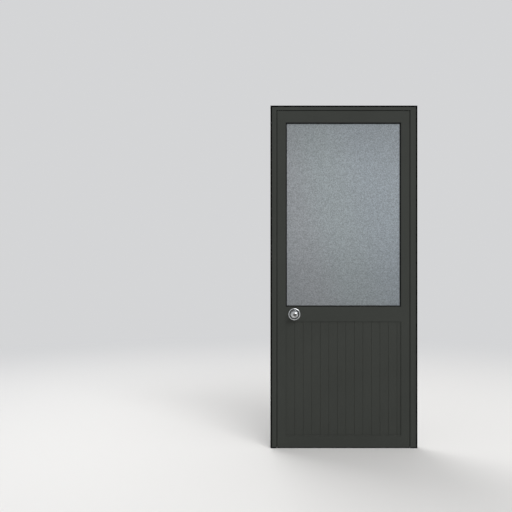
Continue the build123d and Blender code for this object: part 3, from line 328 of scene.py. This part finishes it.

# Obscure glass: one 6 mm pane, rolled on its outer face with a fine grain that scatters what is
# behind it. Its tint turns greener past the lock side and bluer towards the hinges, and its colour
# is darkened towards its foot, its head and the lock side as painted shade, where less light comes
# through.

glass_low, glass_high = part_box("glass_pane")
glass_middle = (glass_low + glass_high) / 2
glass_size = glass_high - glass_low
grain_cell = 0.0045
grain_lump = 0.0075
grain_depth = 0.00035
glass_dark = (0.198, 0.212, 0.224)
glass_light = (0.506, 0.535, 0.561)
glass_roughness = (0.34, 0.44)
glass_transmission = 0.55
glass_index = 1.5
speckles_per_metre = 190
speckle_range = (0.28, 0.72)
pimples_per_metre = 230
pimple_strength = 0.6
pimple_depth = 0.0008
tint_direction = (1.0, 0.0, 0.25)
green_tint, green_reach = (0.980, 1.036, 1.024), (0.05, 0.30)
blue_tint, blue_reach = (0.985, 0.990, 1.033), (0.30, 0.60)
# Painted shade at the pane's foot, head and lock side: how far the colour darkens there, and over
# what reach.
painted_shade_colour = (0.55, 0.55, 0.55)
foot_painted_shade, foot_painted_shade_height = 0.55, 0.55
head_painted_shade, head_painted_shade_height = 0.46, 0.35
side_painted_shade, side_painted_shade_width = 0.16, 0.30


def take(piece):
    """Leaves this piece alone selected and active."""
    bpy.ops.object.select_all(action="DESELECT")
    piece.select_set(True)
    bpy.context.view_layer.objects.active = piece


def new_blank(name, primitive, scale=(1, 1, 1), **how):
    """A blank to be shaped: a primitive added alone, at its size and place."""
    bpy.ops.object.select_all(action="DESELECT")
    primitive(**how)
    piece = bpy.context.object
    piece.name = name
    piece.scale = scale
    bpy.ops.object.transform_apply(location=True, rotation=True, scale=True)
    return piece


def edit(piece):
    """Opens a piece in edit mode with all of it selected."""
    take(piece)
    bpy.ops.object.mode_set(mode="EDIT")
    bpy.ops.mesh.select_all(action="SELECT")


def pick_faces(piece, wanted):
    """Selects only the faces whose centre and normal pass a test, in edit mode."""
    bpy.ops.mesh.select_mode(type="FACE")
    bpy.ops.mesh.select_all(action="DESELECT")
    mesh = bmesh.from_edit_mesh(piece.data)
    for face in mesh.faces:
        face.select_set(bool(wanted(face.calc_center_median(), face.normal)))
    bmesh.update_edit_mesh(piece.data)


def pick_edges(piece, wanted):
    """Selects only the edges whose two ends pass a test, in edit mode."""
    bpy.ops.mesh.select_mode(type="EDGE")
    bpy.ops.mesh.select_all(action="DESELECT")
    mesh = bmesh.from_edit_mesh(piece.data)
    for line in mesh.edges:
        line.select_set(bool(wanted(line.verts[0].co, line.verts[1].co)))
    bmesh.update_edit_mesh(piece.data)


def close(piece):
    """Leaves edit mode with the faces outwards and the place applied."""
    bpy.ops.mesh.select_all(action="SELECT")
    bpy.ops.mesh.remove_doubles(threshold=1e-6)
    bpy.ops.mesh.normals_make_consistent(inside=False)
    bpy.ops.object.mode_set(mode="OBJECT")
    take(piece)
    bpy.ops.object.transform_apply(location=True, rotation=True, scale=True)


def smooth(piece, angle):
    """Shades a piece smoothly, apart from edges that turn by more than an angle in degrees."""
    take(piece)
    bpy.ops.object.shade_smooth_by_angle(angle=radians(angle))


def apply_modifier(piece, kind, **settings):
    """Adds a modifier with its settings and applies it."""
    take(piece)
    modifier = piece.modifiers.new(kind.lower(), kind)
    for setting, value in settings.items():
        setattr(modifier, setting, value)
    bpy.ops.object.modifier_apply(modifier=modifier.name)


def fit(piece, finish, body, slot, *nodes):
    """Gives a new piece its finish and its body, and hides the nodes it stands for; the slot is
    not used.
    """
    piece.data.materials.clear()
    piece.data.materials.append(finish)
    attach(piece, body)
    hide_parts(*nodes)


pane = new_blank(
    "obscure_pane", bpy.ops.mesh.primitive_grid_add,
    x_subdivisions=round(glass_size.x / grain_cell),
    y_subdivisions=round(glass_size.z / grain_cell),
    size=1,
    location=(glass_middle.x, glass_low.y + grain_depth, glass_middle.z),
    rotation=(pi / 2, 0, 0),
    scale=(glass_size.x, glass_size.z, 1),
)
rolled = bpy.data.textures.new("rolled_grain", "CLOUDS")
rolled.noise_scale = grain_lump
rolled.noise_depth = 1
apply_modifier(
    pane, "DISPLACE", texture=rolled, texture_coords="GLOBAL", strength=grain_depth, mid_level=0.5
)
edit(pane)
bpy.ops.mesh.select_mode(type="EDGE")
bpy.ops.mesh.region_to_loop()
bpy.ops.mesh.extrude_edges_move(
    TRANSFORM_OT_translate={"value": (0, glass_size.y - 2 * grain_depth, 0)}
)
bpy.ops.mesh.edge_face_add()
close(pane)
smooth(pane, angle=50)

obscure_glass, shader, place = new_finish("obscure_glass", glass_roughness[0])
tree = obscure_glass.node_tree
grain = put_effect(obscure_glass, orange_peel, place, Grain=pimples_per_metre)
speckle = noise(tree, place, speckles_per_metre, detail=3.0)
speckle = spread(tree, speckle, speckle_range, (0, 1))
colour = blend_colours(tree, speckle, glass_dark, glass_light)
slant = tree.nodes.new("ShaderNodeVectorMath")
slant.operation = "DOT_PRODUCT"
slant.inputs[1].default_value = tint_direction
tree.links.new(place, slant.inputs[0])
for tint, reach in ((green_tint, green_reach), (blue_tint, blue_reach)):
    part_way = spread(tree, slant.outputs["Value"], reach, (0, 1))
    colour = blend_colours(tree, part_way, colour, tint, "MULTIPLY")
# Painted shade: the colour is darkened towards the pane's foot, its head and the lock side,
# standing in for less light coming through there.
along = tree.nodes.new("ShaderNodeSeparateXYZ")
tree.links.new(place, along.inputs["Vector"])
for axis, reach, amounts in (
    ("Z", (glass_low.z, glass_low.z + foot_painted_shade_height), (foot_painted_shade, 0)),
    ("Z", (glass_high.z - head_painted_shade_height, glass_high.z), (0, head_painted_shade)),
    ("X", (glass_low.x, glass_low.x + side_painted_shade_width), (side_painted_shade, 0)),
):
    painted_shade = spread(tree, along.outputs[axis], reach, amounts)
    colour = blend_colours(tree, painted_shade, colour, painted_shade_colour, "MULTIPLY")
tree.links.new(colour, shader.inputs["Base Color"])
frosted = spread(tree, grain.outputs["Height"], most_of_noise, glass_roughness)
tree.links.new(frosted, shader.inputs["Roughness"])
shader.inputs["Transmission Weight"].default_value = glass_transmission
shader.inputs["IOR"].default_value = glass_index
raise_bumps(tree, grain.outputs["Height"], shader, pimple_strength, pimple_depth)
fit(pane, obscure_glass, "leaf", "obscure_glass", "glass_pane")

# Glass gaskets and beads: a broad black strip outside and a wedge inside grip the pane all
# round, and four coated beads snap into the rebate to hold them.

rubber("glass_rubber", every_way, "glass_gasket_outer", "glass_gasket_inner")
dress(leaf_coat, "glass_bead_top", "glass_bead_bottom", "glass_bead_lock", "glass_bead_hinge")

# Boards of the lower panel: hollow aluminium boards, tongued and grooved, pushed together edge
# to edge. Their coat is from another batch, a shade off that of the stiles, and rubber and beads
# hold them as they hold the glass.

board_dark = (0.0315, 0.0340, 0.0298)
board_light = (0.0342, 0.0369, 0.0324)

board_coat = powder_coat("board_coat", board_dark, board_light)
dress(board_coat, "panel_board_first", "panel_boards", "panel_board_last")
rubber("panel_rubber", every_way, "panel_seal_strips", "panel_gasket_inner")
dress(leaf_coat, "panel_bead_top", "panel_bead_bottom", "panel_bead_lock", "panel_bead_hinge")

# Hinges: stainless wings with rolled knuckles, brushed lengthways, each pair on a fixed pin with
# a pressed, rounded head. Three countersunk screws with a cross recess hold every wing.

steel_dark = (0.36, 0.36, 0.35)
steel_light = (0.56, 0.56, 0.55)
steel_roughness = (0.28, 0.42)
steel_lines_per_metre = 2600
steel_line_depth = 0.00004
hinge_places = (1.867, 1.0365, 0.206)
hinge_axis_x, hinge_axis_y = 0.41625, 0.0305
hinge_height = 0.100
pin_radius = 0.004
pin_edge = 0.0003
pin_head_radius = 0.0055
pin_head_height = 0.002
pin_head_curve = ((1, 0), (1, 0.5), (0.85, 0.8), (0.5, 0.96), (0, 1))
wing_face_y = 0.0255
wing_screw_offsets = (("frame", 0.017), ("leaf", -0.022))
wing_screw_rows = 3
wing_screw_pitch = 0.035
wing_screw_radius = 0.0023
wing_screw_head = 0.0046
wing_screw_length = 0.014
wing_screw_point = 0.0015
wing_cross_width = 0.0046
wing_cross_depth = 0.0022
wing_cross_turn = 0.7
countersink_depth = 0.00265
screw_edge = 0.00012
cross_taper = 0.3
upwards = (0, 0, 1)

brushed = drawn_finish(
    "brushed_steel", steel_dark, steel_light, steel_roughness, upright, steel_lines_per_metre,
    steel_line_depth, metallic=1.0,
)
dress(
    brushed,
    "hinge_frame_wing_top", "hinge_frame_wing_middle", "hinge_frame_wing_bottom",
    "hinge_leaf_wing_top", "hinge_leaf_wing_middle", "hinge_leaf_wing_bottom",
)


def turned(name, outline, foot, way, steps, edge):
    """A turned piece with eased edges: an outline of radius and height, spun about its foot.

    It starts from a small plane, which is merged to the outline's first point.
    """
    foot, way = Vector(foot), Vector(way)
    points = [foot + Vector((radius, 0, 0)) + way * height for radius, height in outline]
    bpy.ops.object.select_all(action="DESELECT")
    bpy.ops.mesh.primitive_plane_add(size=0.001, location=points[0])
    piece = bpy.context.object
    piece.name = name
    edit(piece)
    bpy.ops.mesh.select_mode(type="VERT")
    bpy.ops.mesh.merge(type="CENTER")
    for here, there in zip(points, points[1:]):
        bpy.ops.mesh.extrude_vertices_move(TRANSFORM_OT_translate={"value": there - here})
    bpy.ops.mesh.select_all(action="SELECT")
    bpy.ops.mesh.spin(steps=steps, angle=2 * pi, center=foot, axis=way)
    close(piece)
    apply_modifier(
        piece, "BEVEL", width=edge, segments=3, limit_method="ANGLE", angle_limit=radians(35)
    )
    smooth(piece, angle=30)
    return piece


def cut(piece, tool):
    """Cuts a piece with a tool, and puts the tool away."""
    apply_modifier(piece, "BOOLEAN", object=tool, operation="DIFFERENCE", solver="EXACT")
    bpy.data.objects.remove(tool)


def cross_head_screw(name, outline, cross_width, cross_depth):
    """A screw that stands head up at the origin, with a cross pressed into its head."""
    screw = turned(name, outline, (0, 0, 0), upwards, steps=40, edge=screw_edge)
    wing = cross_width / 4
    for width, breadth in ((cross_width, wing), (wing, cross_width)):
        punch = new_blank(
            "punch", bpy.ops.mesh.primitive_cube_add, size=1, location=(0, 0, 0),
            scale=(width, breadth, 2 * cross_depth),
        )
        edit(punch)
        pick_faces(punch, lambda centre, normal: normal.z < -0.9)
        bpy.ops.transform.resize(
            value=(cross_taper, cross_taper, 1), center_override=(0, 0, -cross_depth)
        )
        close(punch)
        cut(screw, punch)
    smooth(screw, angle=30)
    return screw


def copied(piece, name, place, outward, turn=0.0):
    """A copy of a piece made at the origin and facing up, set at its place and turned outwards."""
    take(piece)
    bpy.ops.object.duplicate(linked=False)
    copy = bpy.context.object
    copy.name = name
    copy.rotation_mode = "QUATERNION"
    tilt = Vector(upwards).rotation_difference(Vector(outward))
    copy.rotation_quaternion = tilt @ Quaternion(upwards, turn)
    copy.location = place
    bpy.ops.object.transform_apply(location=True, rotation=True, scale=True)
    return copy


pin_outline = [(0, 0), (pin_radius, 0), (pin_radius, hinge_height)]
for share_of_radius, share_of_height in pin_head_curve:
    pin_outline.append(
        (share_of_radius * pin_head_radius, hinge_height + share_of_height * pin_head_height)
    )
pattern = turned("hinge_pin", pin_outline, (0, 0, 0), upwards, steps=48, edge=pin_edge)
for which, z in zip(("top", "middle", "bottom"), hinge_places):
    pin = copied(
        pattern, f"hinge_pin_{which}", (hinge_axis_x, hinge_axis_y, z - hinge_height / 2), upwards
    )
    fit(pin, brushed, "frame", "hinge_steel", "hinge_pins")
bpy.data.objects.remove(pattern)

wing_screw_outline = [
    (0, 0), (wing_screw_head, 0), (wing_screw_radius, -countersink_depth),
    (wing_screw_radius, wing_screw_point - wing_screw_length), (0, -wing_screw_length),
]
pattern = cross_head_screw("wing_screw", wing_screw_outline, wing_cross_width, wing_cross_depth)
for body, offset in wing_screw_offsets:
    for number in range(wing_screw_rows * len(hinge_places)):
        hinge, row = divmod(number, wing_screw_rows)
        z = hinge_places[hinge] + (row - 1) * wing_screw_pitch
        screw = copied(
            pattern, f"hinge_{body}_screw_{number + 1}", (hinge_axis_x + offset, wing_face_y, z),
            (0, 1, 0), wing_cross_turn * number,
        )
        fit(screw, zinc, body, "screw_steel", f"hinge_{body}_screws")
bpy.data.objects.remove(pattern)

# Latch: a steel case let into the lock stile, a plated bolt with a bevelled nose and its spring,
# behind a brushed faceplate. The strike plate on the jamb has a bent lip for the bolt to ride in
# on, and each plate has two screws.

knob_x, knob_z = -0.3043, 0.82175
bolt_dark = (0.50, 0.50, 0.48)
bolt_light = (0.62, 0.62, 0.60)
bolt_roughness = (0.14, 0.24)
bolt_lines_per_metre = 1800
bolt_line_depth = 0.00002
faceplate_x, faceplate_screw_offset = -0.422, 0.021
strike_x, strike_screw_offset = -0.4235, 0.027
plate_screw_radius = 0.0017
plate_screw_crown = 0.0020
plate_screw_head = 0.003
plate_screw_head_height = 0.0004
plate_screw_rim = 0.00015
plate_screw_length = 0.012
plate_screw_point = 0.001
plate_cross_width = 0.0026
plate_cross_depth = 0.0012
plate_cross_turn = 0.4

dress(brushed, "latch_case", "latch_spring", "latch_faceplate", "strike_plate")
plated = drawn_finish(
    "plated_bolt", bolt_dark, bolt_light, bolt_roughness, level, bolt_lines_per_metre,
    bolt_line_depth, metallic=1.0,
)
dress(plated, "latch_bolt")

plate_screw_outline = [
    (0, plate_screw_head_height), (plate_screw_crown, plate_screw_head_height),
    (plate_screw_head, plate_screw_rim), (plate_screw_head, 0), (plate_screw_radius, 0),
    (plate_screw_radius, plate_screw_point - plate_screw_length), (0, -plate_screw_length),
]
pattern = cross_head_screw(
    "plate_screw", plate_screw_outline, plate_cross_width, plate_cross_depth
)
for plate, body, x, outward, offset in (
    ("faceplate", "leaf", faceplate_x, (-1, 0, 0), faceplate_screw_offset),
    ("strike", "frame", strike_x, (1, 0, 0), strike_screw_offset),
):
    for end, side in (("lower", -1), ("upper", 1)):
        screw = copied(
            pattern, f"{plate}_screw_{end}", (x, 0, knob_z + side * offset), outward,
            plate_cross_turn + side,
        )
        fit(screw, zinc, body, "screw_steel", f"{plate}_screws")
bpy.data.objects.remove(pattern)

# Lock body: the round chassis through the stile, the square spindle that joins the two knobs,
# and the long bolts that clamp the trim. All are steel from the saw or the lathe, and hidden.

dress(brushed, "lock_chassis", "knob_spindle")
dress(zinc, "lock_through_bolts")

# Roses: round plates pressed from brass and chromed, with a rolled rim, a coved well with a
# painted dark reflection, and a collar round the knob's neck. One stands on each face of the lock
# stile.

leaf_face = 0.0225
chrome_dark = (0.52, 0.53, 0.535)
chrome_light = (0.58, 0.59, 0.60)
chrome_roughness = (0.035, 0.12)
chrome_tones_per_metre = 40
smudges_per_metre = 90
smudge_range = (0.45, 0.75)
# Painted dark reflection: a near-black colour laid on the chrome in a ring round the knob's axis,
# in the rose's well and the knob's dish, standing in for the dark surroundings that chrome
# reflects there.
dark_reflection_colour = (0.035, 0.035, 0.034)
dark_reflection_lumps_per_metre = 260
dark_reflection_range = (0.25, 0.6)
dark_reflection_thickness = (0.7, 1)
dark_reflection_fade = 0.0018
rose_dark_reflection = (0.0240, 0.0300)
rose_radius = 0.037
rose_height = 0.0085
rose_roll = 0.0035
rim_inside_radius = 0.031
cove_radius = 0.012
cove_foot_radius = 0.024
well_height = 0.0035
collar_radius = 0.014
collar_height = 0.007
collar_bore = 0.0115
trim_steps = 128
trim_edge = 0.0003


def arc(start, end, radius, steps):
    """Points past start on an arc to end, which bulges left of the way for a positive radius."""
    run, rise = end[0] - start[0], end[1] - start[1]
    chord = sqrt(run * run + rise * rise)
    bulge = 1 if radius > 0 else -1
    half_angle = asin(chord / (2 * abs(radius)))
    reach = bulge * abs(radius) * cos(half_angle) / chord
    middle_x = (start[0] + end[0]) / 2 + reach * rise
    middle_y = (start[1] + end[1]) / 2 - reach * run
    first = atan2(start[1] - middle_y, start[0] - middle_x)
    angles = [first - bulge * 2 * half_angle * step / steps for step in range(1, steps + 1)]
    return [
        (middle_x + abs(radius) * cos(angle), middle_y + abs(radius) * sin(angle))
        for angle in angles
    ]


def polished_chrome(name, dark_reflection_reach):
    """Chrome with faint smudges, and a painted dark reflection between two distances from the
    knob's axis.
    """
    finish, shader, place = new_finish(name, chrome_roughness[0], metallic=1.0)
    tree = finish.node_tree
    smudges = noise(tree, place, smudges_per_metre, detail=4.0)
    smudges = spread(tree, smudges, smudge_range, chrome_roughness)
    tree.links.new(smudges, shader.inputs["Roughness"])
    flat = tree.nodes.new("ShaderNodeMapping")
    flat.inputs["Location"].default_value = (-knob_x, 0, -knob_z)
    flat.inputs["Scale"].default_value = (1, 0, 1)
    tree.links.new(place, flat.inputs["Vector"])
    radius = tree.nodes.new("ShaderNodeVectorMath")
    radius.operation = "LENGTH"
    tree.links.new(flat.outputs["Vector"], radius.inputs[0])
    # Painted dark reflection: the chrome's colour turns near black, in lumps, between the two
    # radii.
    dark_reflection = noise(tree, place, dark_reflection_lumps_per_metre, detail=5.0)
    dark_reflection = spread(tree, dark_reflection, dark_reflection_range, dark_reflection_thickness)
    for edge, levels in zip(dark_reflection_reach, ((0, 1), (1, 0))):
        fade = (edge - dark_reflection_fade, edge + dark_reflection_fade)
        within = spread(tree, radius.outputs["Value"], fade, levels)
        dark_reflection = combined(tree, "MULTIPLY", dark_reflection, within)
    tones = noise(tree, place, chrome_tones_per_metre)
    metal = blend_colours(tree, tones, chrome_dark, chrome_light)
    tree.links.new(blend_colours(tree, dark_reflection, metal, dark_reflection_colour), shader.inputs["Base Color"])
    return finish


rose_chrome = polished_chrome("rose_chrome", rose_dark_reflection)

rim_low = (rose_radius, rose_height - rose_roll)
rim_high = (rose_radius - rose_roll, rose_height)
rim_inside = (rim_inside_radius, rose_height)
rose_outline = [
    (collar_bore, 0), (rose_radius, 0), rim_low,
    *arc(rim_low, rim_high, -rose_roll, steps=8),
    rim_inside,
    *arc(rim_inside, (cove_foot_radius, well_height), cove_radius, steps=8),
    (collar_radius, well_height), (collar_radius, collar_height), (collar_bore, collar_height),
    (collar_bore, 0),
]
for face, side in (("outside", -1), ("inside", 1)):
    rose = turned(
        f"chrome_rose_{face}", rose_outline, (knob_x, side * leaf_face, knob_z), (0, side, 0),
        trim_steps, trim_edge,
    )
    fit(rose, rose_chrome, "leaf", "chrome", f"rose_{face}")

# Knobs: drawn brass shells, chromed and polished, on a turned neck that flares to a rounded rim,
# with a domed crown dished round its bore, where a dark reflection is painted on. The bore of the
# outer one takes the key plug, and that of the inner one the turn button's stem.

spindle_bore = 0.005
spindle_bore_end = 0.0126
sleeve_radius = 0.010
sleeve_insertion = 0.0115
neck_radius = 0.011
neck_end = (neck_radius, 0.013)
flare_radius = 0.04753
knob_radius = 0.0225
knob_rim_low = (knob_radius, 0.044)
knob_rim_high = (knob_radius, 0.052)
knob_rim_roll = 0.006083
crown_edge = (0.0105, 0.062)
crown_dome_radius = 0.028
dish_radius = 0.008
dish_height = 0.0595
knob_dark_reflection = (0.0055, 0.0100)

knob_chrome = polished_chrome("knob_chrome", knob_dark_reflection)
for face, side, bore_radius, bore_floor in (
    ("outside", -1, 0.00655, 0.0382),
    ("inside", 1, 0.00505, 0.0396),
):
    knob_outline = [
        (0, spindle_bore_end), (spindle_bore, spindle_bore_end), (spindle_bore, -sleeve_insertion),
        (sleeve_radius, -sleeve_insertion), (sleeve_radius, 0), (neck_radius, 0), neck_end,
        *arc(neck_end, knob_rim_low, flare_radius, steps=16),
        *arc(knob_rim_low, knob_rim_high, -knob_rim_roll, steps=8),
        *arc(knob_rim_high, crown_edge, -crown_dome_radius, steps=12),
        (dish_radius, dish_height), (bore_radius, dish_height), (bore_radius, bore_floor),
        (0, bore_floor),
    ]
    knob = turned(
        f"chrome_knob_{face}", knob_outline, (knob_x, side * leaf_face, knob_z), (0, side, 0),
        trim_steps, trim_edge,
    )
    fit(knob, knob_chrome, "knobs", "chrome", f"knob_{face}")

# Key plug: a brass cylinder, nickel plated and faced in the lathe, its face coloured far darker
# than nickel as painted shade for the knob's dark middle, with a chamfered nose and a stepped
# keyway that two wards narrow from opposite sides.

plug_dark_shade = (0.14, 0.135, 0.125)
plug_light_shade = (0.22, 0.215, 0.20)
plug_roughness = (0.18, 0.30)
lathe_rings_per_metre = 900
lathe_ring_wobble = 0.6
lathe_ring_strength = 0.2
lathe_ring_depth = 0.00001
plug_radius = 0.0065
plug_length = 0.0219
plug_face_y = -(leaf_face + 0.0607)
plug_chamfer = 0.0006
keyway_width = 0.0018
keyway_height = 0.009
keyway_depth = 0.0196
keyway_head = 0.0025
ward = 0.0006
keyway_steps = (
    (ward, -0.0004), (0, -0.0019), (-2 * ward, -0.0004),
    (0, -0.0014), (ward, -0.0004), (0, -0.0020),
)
broach_run_in = 0.001

plug = new_blank(
    "lock_plug", bpy.ops.mesh.primitive_cylinder_add,
    vertices=96,
    radius=plug_radius,
    depth=plug_length,
    location=(knob_x, plug_face_y + plug_length / 2, knob_z),
    rotation=(pi / 2, 0, 0),
)
edit(plug)
pick_faces(plug, lambda centre, normal: normal.y < -0.9)
bpy.ops.mesh.bevel(offset=plug_chamfer, segments=3, affect="EDGES")
close(plug)

keyway_top = knob_z + keyway_height / 2
broach = new_blank(
    "broach", bpy.ops.mesh.primitive_plane_add,
    size=1,
    location=(knob_x, plug_face_y - broach_run_in, keyway_top - keyway_head / 2),
    rotation=(pi / 2, 0, 0),
    scale=(keyway_width, keyway_head, 1),
)
edit(broach)
pick_edges(broach, lambda start, end: max(start.z, end.z) < keyway_top - keyway_head / 2)
for across, down in keyway_steps:
    bpy.ops.mesh.extrude_edges_move(TRANSFORM_OT_translate={"value": (across, 0, down)})
bpy.ops.mesh.select_all(action="SELECT")
bpy.ops.mesh.extrude_region_move(
    TRANSFORM_OT_translate={"value": (0, keyway_depth + broach_run_in, 0)}
)
close(broach)
cut(plug, broach)
smooth(plug, angle=35)

nickel, shader, place = new_finish("nickel_face", plug_roughness[0], metallic=1.0)
tree = nickel.node_tree
centred = tree.nodes.new("ShaderNodeMapping")
centred.inputs["Location"].default_value = (-knob_x, 0, -knob_z)
tree.links.new(place, centred.inputs["Vector"])
rings = tree.nodes.new("ShaderNodeTexWave")
rings.wave_type = "RINGS"
rings.rings_direction = "Y"
rings.inputs["Scale"].default_value = lathe_rings_per_metre
rings.inputs["Distortion"].default_value = lathe_ring_wobble
tree.links.new(centred.outputs["Vector"], rings.inputs["Vector"])
colour = blend_colours(tree, rings.outputs["Fac"], plug_dark_shade, plug_light_shade)
tree.links.new(colour, shader.inputs["Base Color"])
faced = spread(tree, rings.outputs["Fac"], (0, 1), plug_roughness)
tree.links.new(faced, shader.inputs["Roughness"])
raise_bumps(tree, rings.outputs["Fac"], shader, lathe_ring_strength, lathe_ring_depth)
fit(plug, nickel, "key", "lock_steel", "key_plug")

# Turn button: a die-cast grip with round ends and a finger scoop in each broad side, chromed, on
# a round stem that runs in the inner knob's bore.

button_seat_y = leaf_face + 0.0625
button_length = 0.022
button_thickness = 0.006
button_height = 0.0098
button_end_rounding = 0.49 * button_thickness
button_edge = 0.001
scoop_reach = 0.005
scoop_border = 0.0012
scoop_depths = (0.0002, 0.0006)
stem_radius = 0.005
stem_length = 0.0224
stem_edge = 0.0004

button = new_blank(
    "chrome_turn_button", bpy.ops.mesh.primitive_cube_add,
    size=1,
    location=(knob_x, button_seat_y + button_height / 2, knob_z),
    scale=(button_thickness, button_height, button_length),
)
edit(button)
pick_edges(button, lambda start, end: abs(start.y - end.y) > button_height / 2)
bpy.ops.mesh.bevel(offset=button_end_rounding, segments=10, affect="EDGES")
pick_faces(button, lambda centre, normal: normal.y > 0.9)
bpy.ops.mesh.bevel(offset=button_edge, segments=4, affect="EDGES")
pick_faces(
    button,
    lambda centre, normal: abs(normal.x) > 0.95 and abs(centre.z - knob_z) < scoop_reach,
)
for depth in scoop_depths:
    bpy.ops.mesh.inset(thickness=scoop_border, depth=-depth, use_individual=True)
close(button)

stem = new_blank(
    "button_stem", bpy.ops.mesh.primitive_cylinder_add,
    vertices=64,
    radius=stem_radius,
    depth=stem_length,
    location=(knob_x, button_seat_y - stem_length / 2, knob_z),
    rotation=(pi / 2, 0, 0),
)
edit(stem)
pick_faces(stem, lambda centre, normal: abs(normal.y) > 0.9)
bpy.ops.mesh.bevel(offset=stem_edge, segments=2, affect="EDGES")
close(stem)
button.select_set(True)
bpy.context.view_layer.objects.active = button
bpy.ops.object.join()
smooth(button, angle=35)
fit(button, rose_chrome, "button", "chrome", "turn_button")

# Studio: a pale floor that fades into an even pale surround, one broad soft light from the upper
# right in front and one behind, as even from top to bottom as daylight, and a long soft box far
# off on the upper right, which polished metal shows as a bright bar.

surround_colour = (0.66, 0.665, 0.675)
surround_strength = 0.62
floor_colour = (0.80, 0.79, 0.775)
floor_roughness = 0.6
floor_specular = 0.2
floor_radius = 14
floor_fade = (1.2, 6.0)
door_middle = (0, 0, 1.05)
knob_middle = (knob_x, 0, knob_z)

floor = new_blank(
    "studio_floor", bpy.ops.mesh.primitive_circle_add,
    vertices=96, radius=floor_radius, fill_type="NGON", location=(0, 0, 0),
)
floor_paint, shader, place = new_finish("floor_paint", floor_roughness)
tree = floor_paint.node_tree
shader.inputs["Base Color"].default_value = (*floor_colour, 1)
shader.inputs["Specular IOR Level"].default_value = floor_specular
glow = tree.nodes.new("ShaderNodeEmission")
glow.inputs["Color"].default_value = (*surround_colour, 1)
distance = tree.nodes.new("ShaderNodeVectorMath")
distance.operation = "LENGTH"
tree.links.new(place, distance.inputs[0])
fade = spread(tree, distance.outputs["Value"], floor_fade, (0, 1))
mixed = tree.nodes.new("ShaderNodeMixShader")
tree.links.new(fade, mixed.inputs["Fac"])
tree.links.new(shader.outputs["BSDF"], mixed.inputs[1])
tree.links.new(glow.outputs["Emission"], mixed.inputs[2])
tree.links.new(mixed.outputs["Shader"], tree.nodes["Material Output"].inputs["Surface"])
floor.data.materials.append(floor_paint)

world = bpy.data.worlds.new("surround")
bpy.context.scene.world = world
world.use_nodes = True
tree = world.node_tree
background = tree.nodes["Background"]
background.inputs["Color"].default_value = (*surround_colour, 1)
rays = tree.nodes.new("ShaderNodeLightPath")
seen = rays.outputs["Is Camera Ray"]
for kind in ("Is Glossy Ray", "Is Transmission Ray"):
    seen = combined(tree, "MAXIMUM", seen, rays.outputs[kind])
level_of_light = tree.nodes.new("ShaderNodeMapRange")
level_of_light.inputs["To Min"].default_value = surround_strength
level_of_light.inputs["To Max"].default_value = 1.0
tree.links.new(seen, level_of_light.inputs["Value"])
tree.links.new(level_of_light.outputs["Result"], background.inputs["Strength"])


def lamp_towards(name, kind, place, aim, energy, size):
    """A lamp at a place, turned towards what it lights: a sun by its angle, or a soft box."""
    bpy.ops.object.light_add(type=kind, location=place)
    lamp = bpy.context.object
    lamp.name = name
    lamp.data.energy = energy
    if kind == "SUN":
        lamp.data.angle = size
    else:
        lamp.data.shape = "RECTANGLE"
        lamp.data.size, lamp.data.size_y = size
    lamp.rotation_mode = "QUATERNION"
    lamp.rotation_quaternion = (Vector(aim) - Vector(place)).to_track_quat("-Z", "Y")


for name, kind, place, aim, energy, size in (
    ("key_light", "SUN", (1.8, -4.4, 4.0), door_middle, 1.8, radians(40)),
    ("back_light", "SUN", (-2.4, 4.4, 4.0), door_middle, 1.5, radians(50)),
    ("bar_light", "AREA", (4.95, -1.88, 6.02), knob_middle, 75, (6.0, 2.25)),
):
    lamp_towards(name, kind, place, aim, energy, size)

# Camera: level with the middle of the picture and square to the door, which stands right of the
# middle.

camera_x, camera_z = -0.539, 1.178
view_width = 3.137
lens_length = 50.0
sensor_width = 36.0

camera_data = bpy.data.cameras.new("camera")
camera_data.lens = lens_length
camera_data.sensor_width = sensor_width
camera = bpy.data.objects.new("camera", camera_data)
bpy.context.scene.collection.objects.link(camera)
camera.location = (camera_x, -leaf_face - view_width * lens_length / sensor_width, camera_z)
camera.rotation_euler = (pi / 2, 0, 0)
bpy.context.scene.camera = camera
bpy.context.scene.view_settings.view_transform = "Standard"
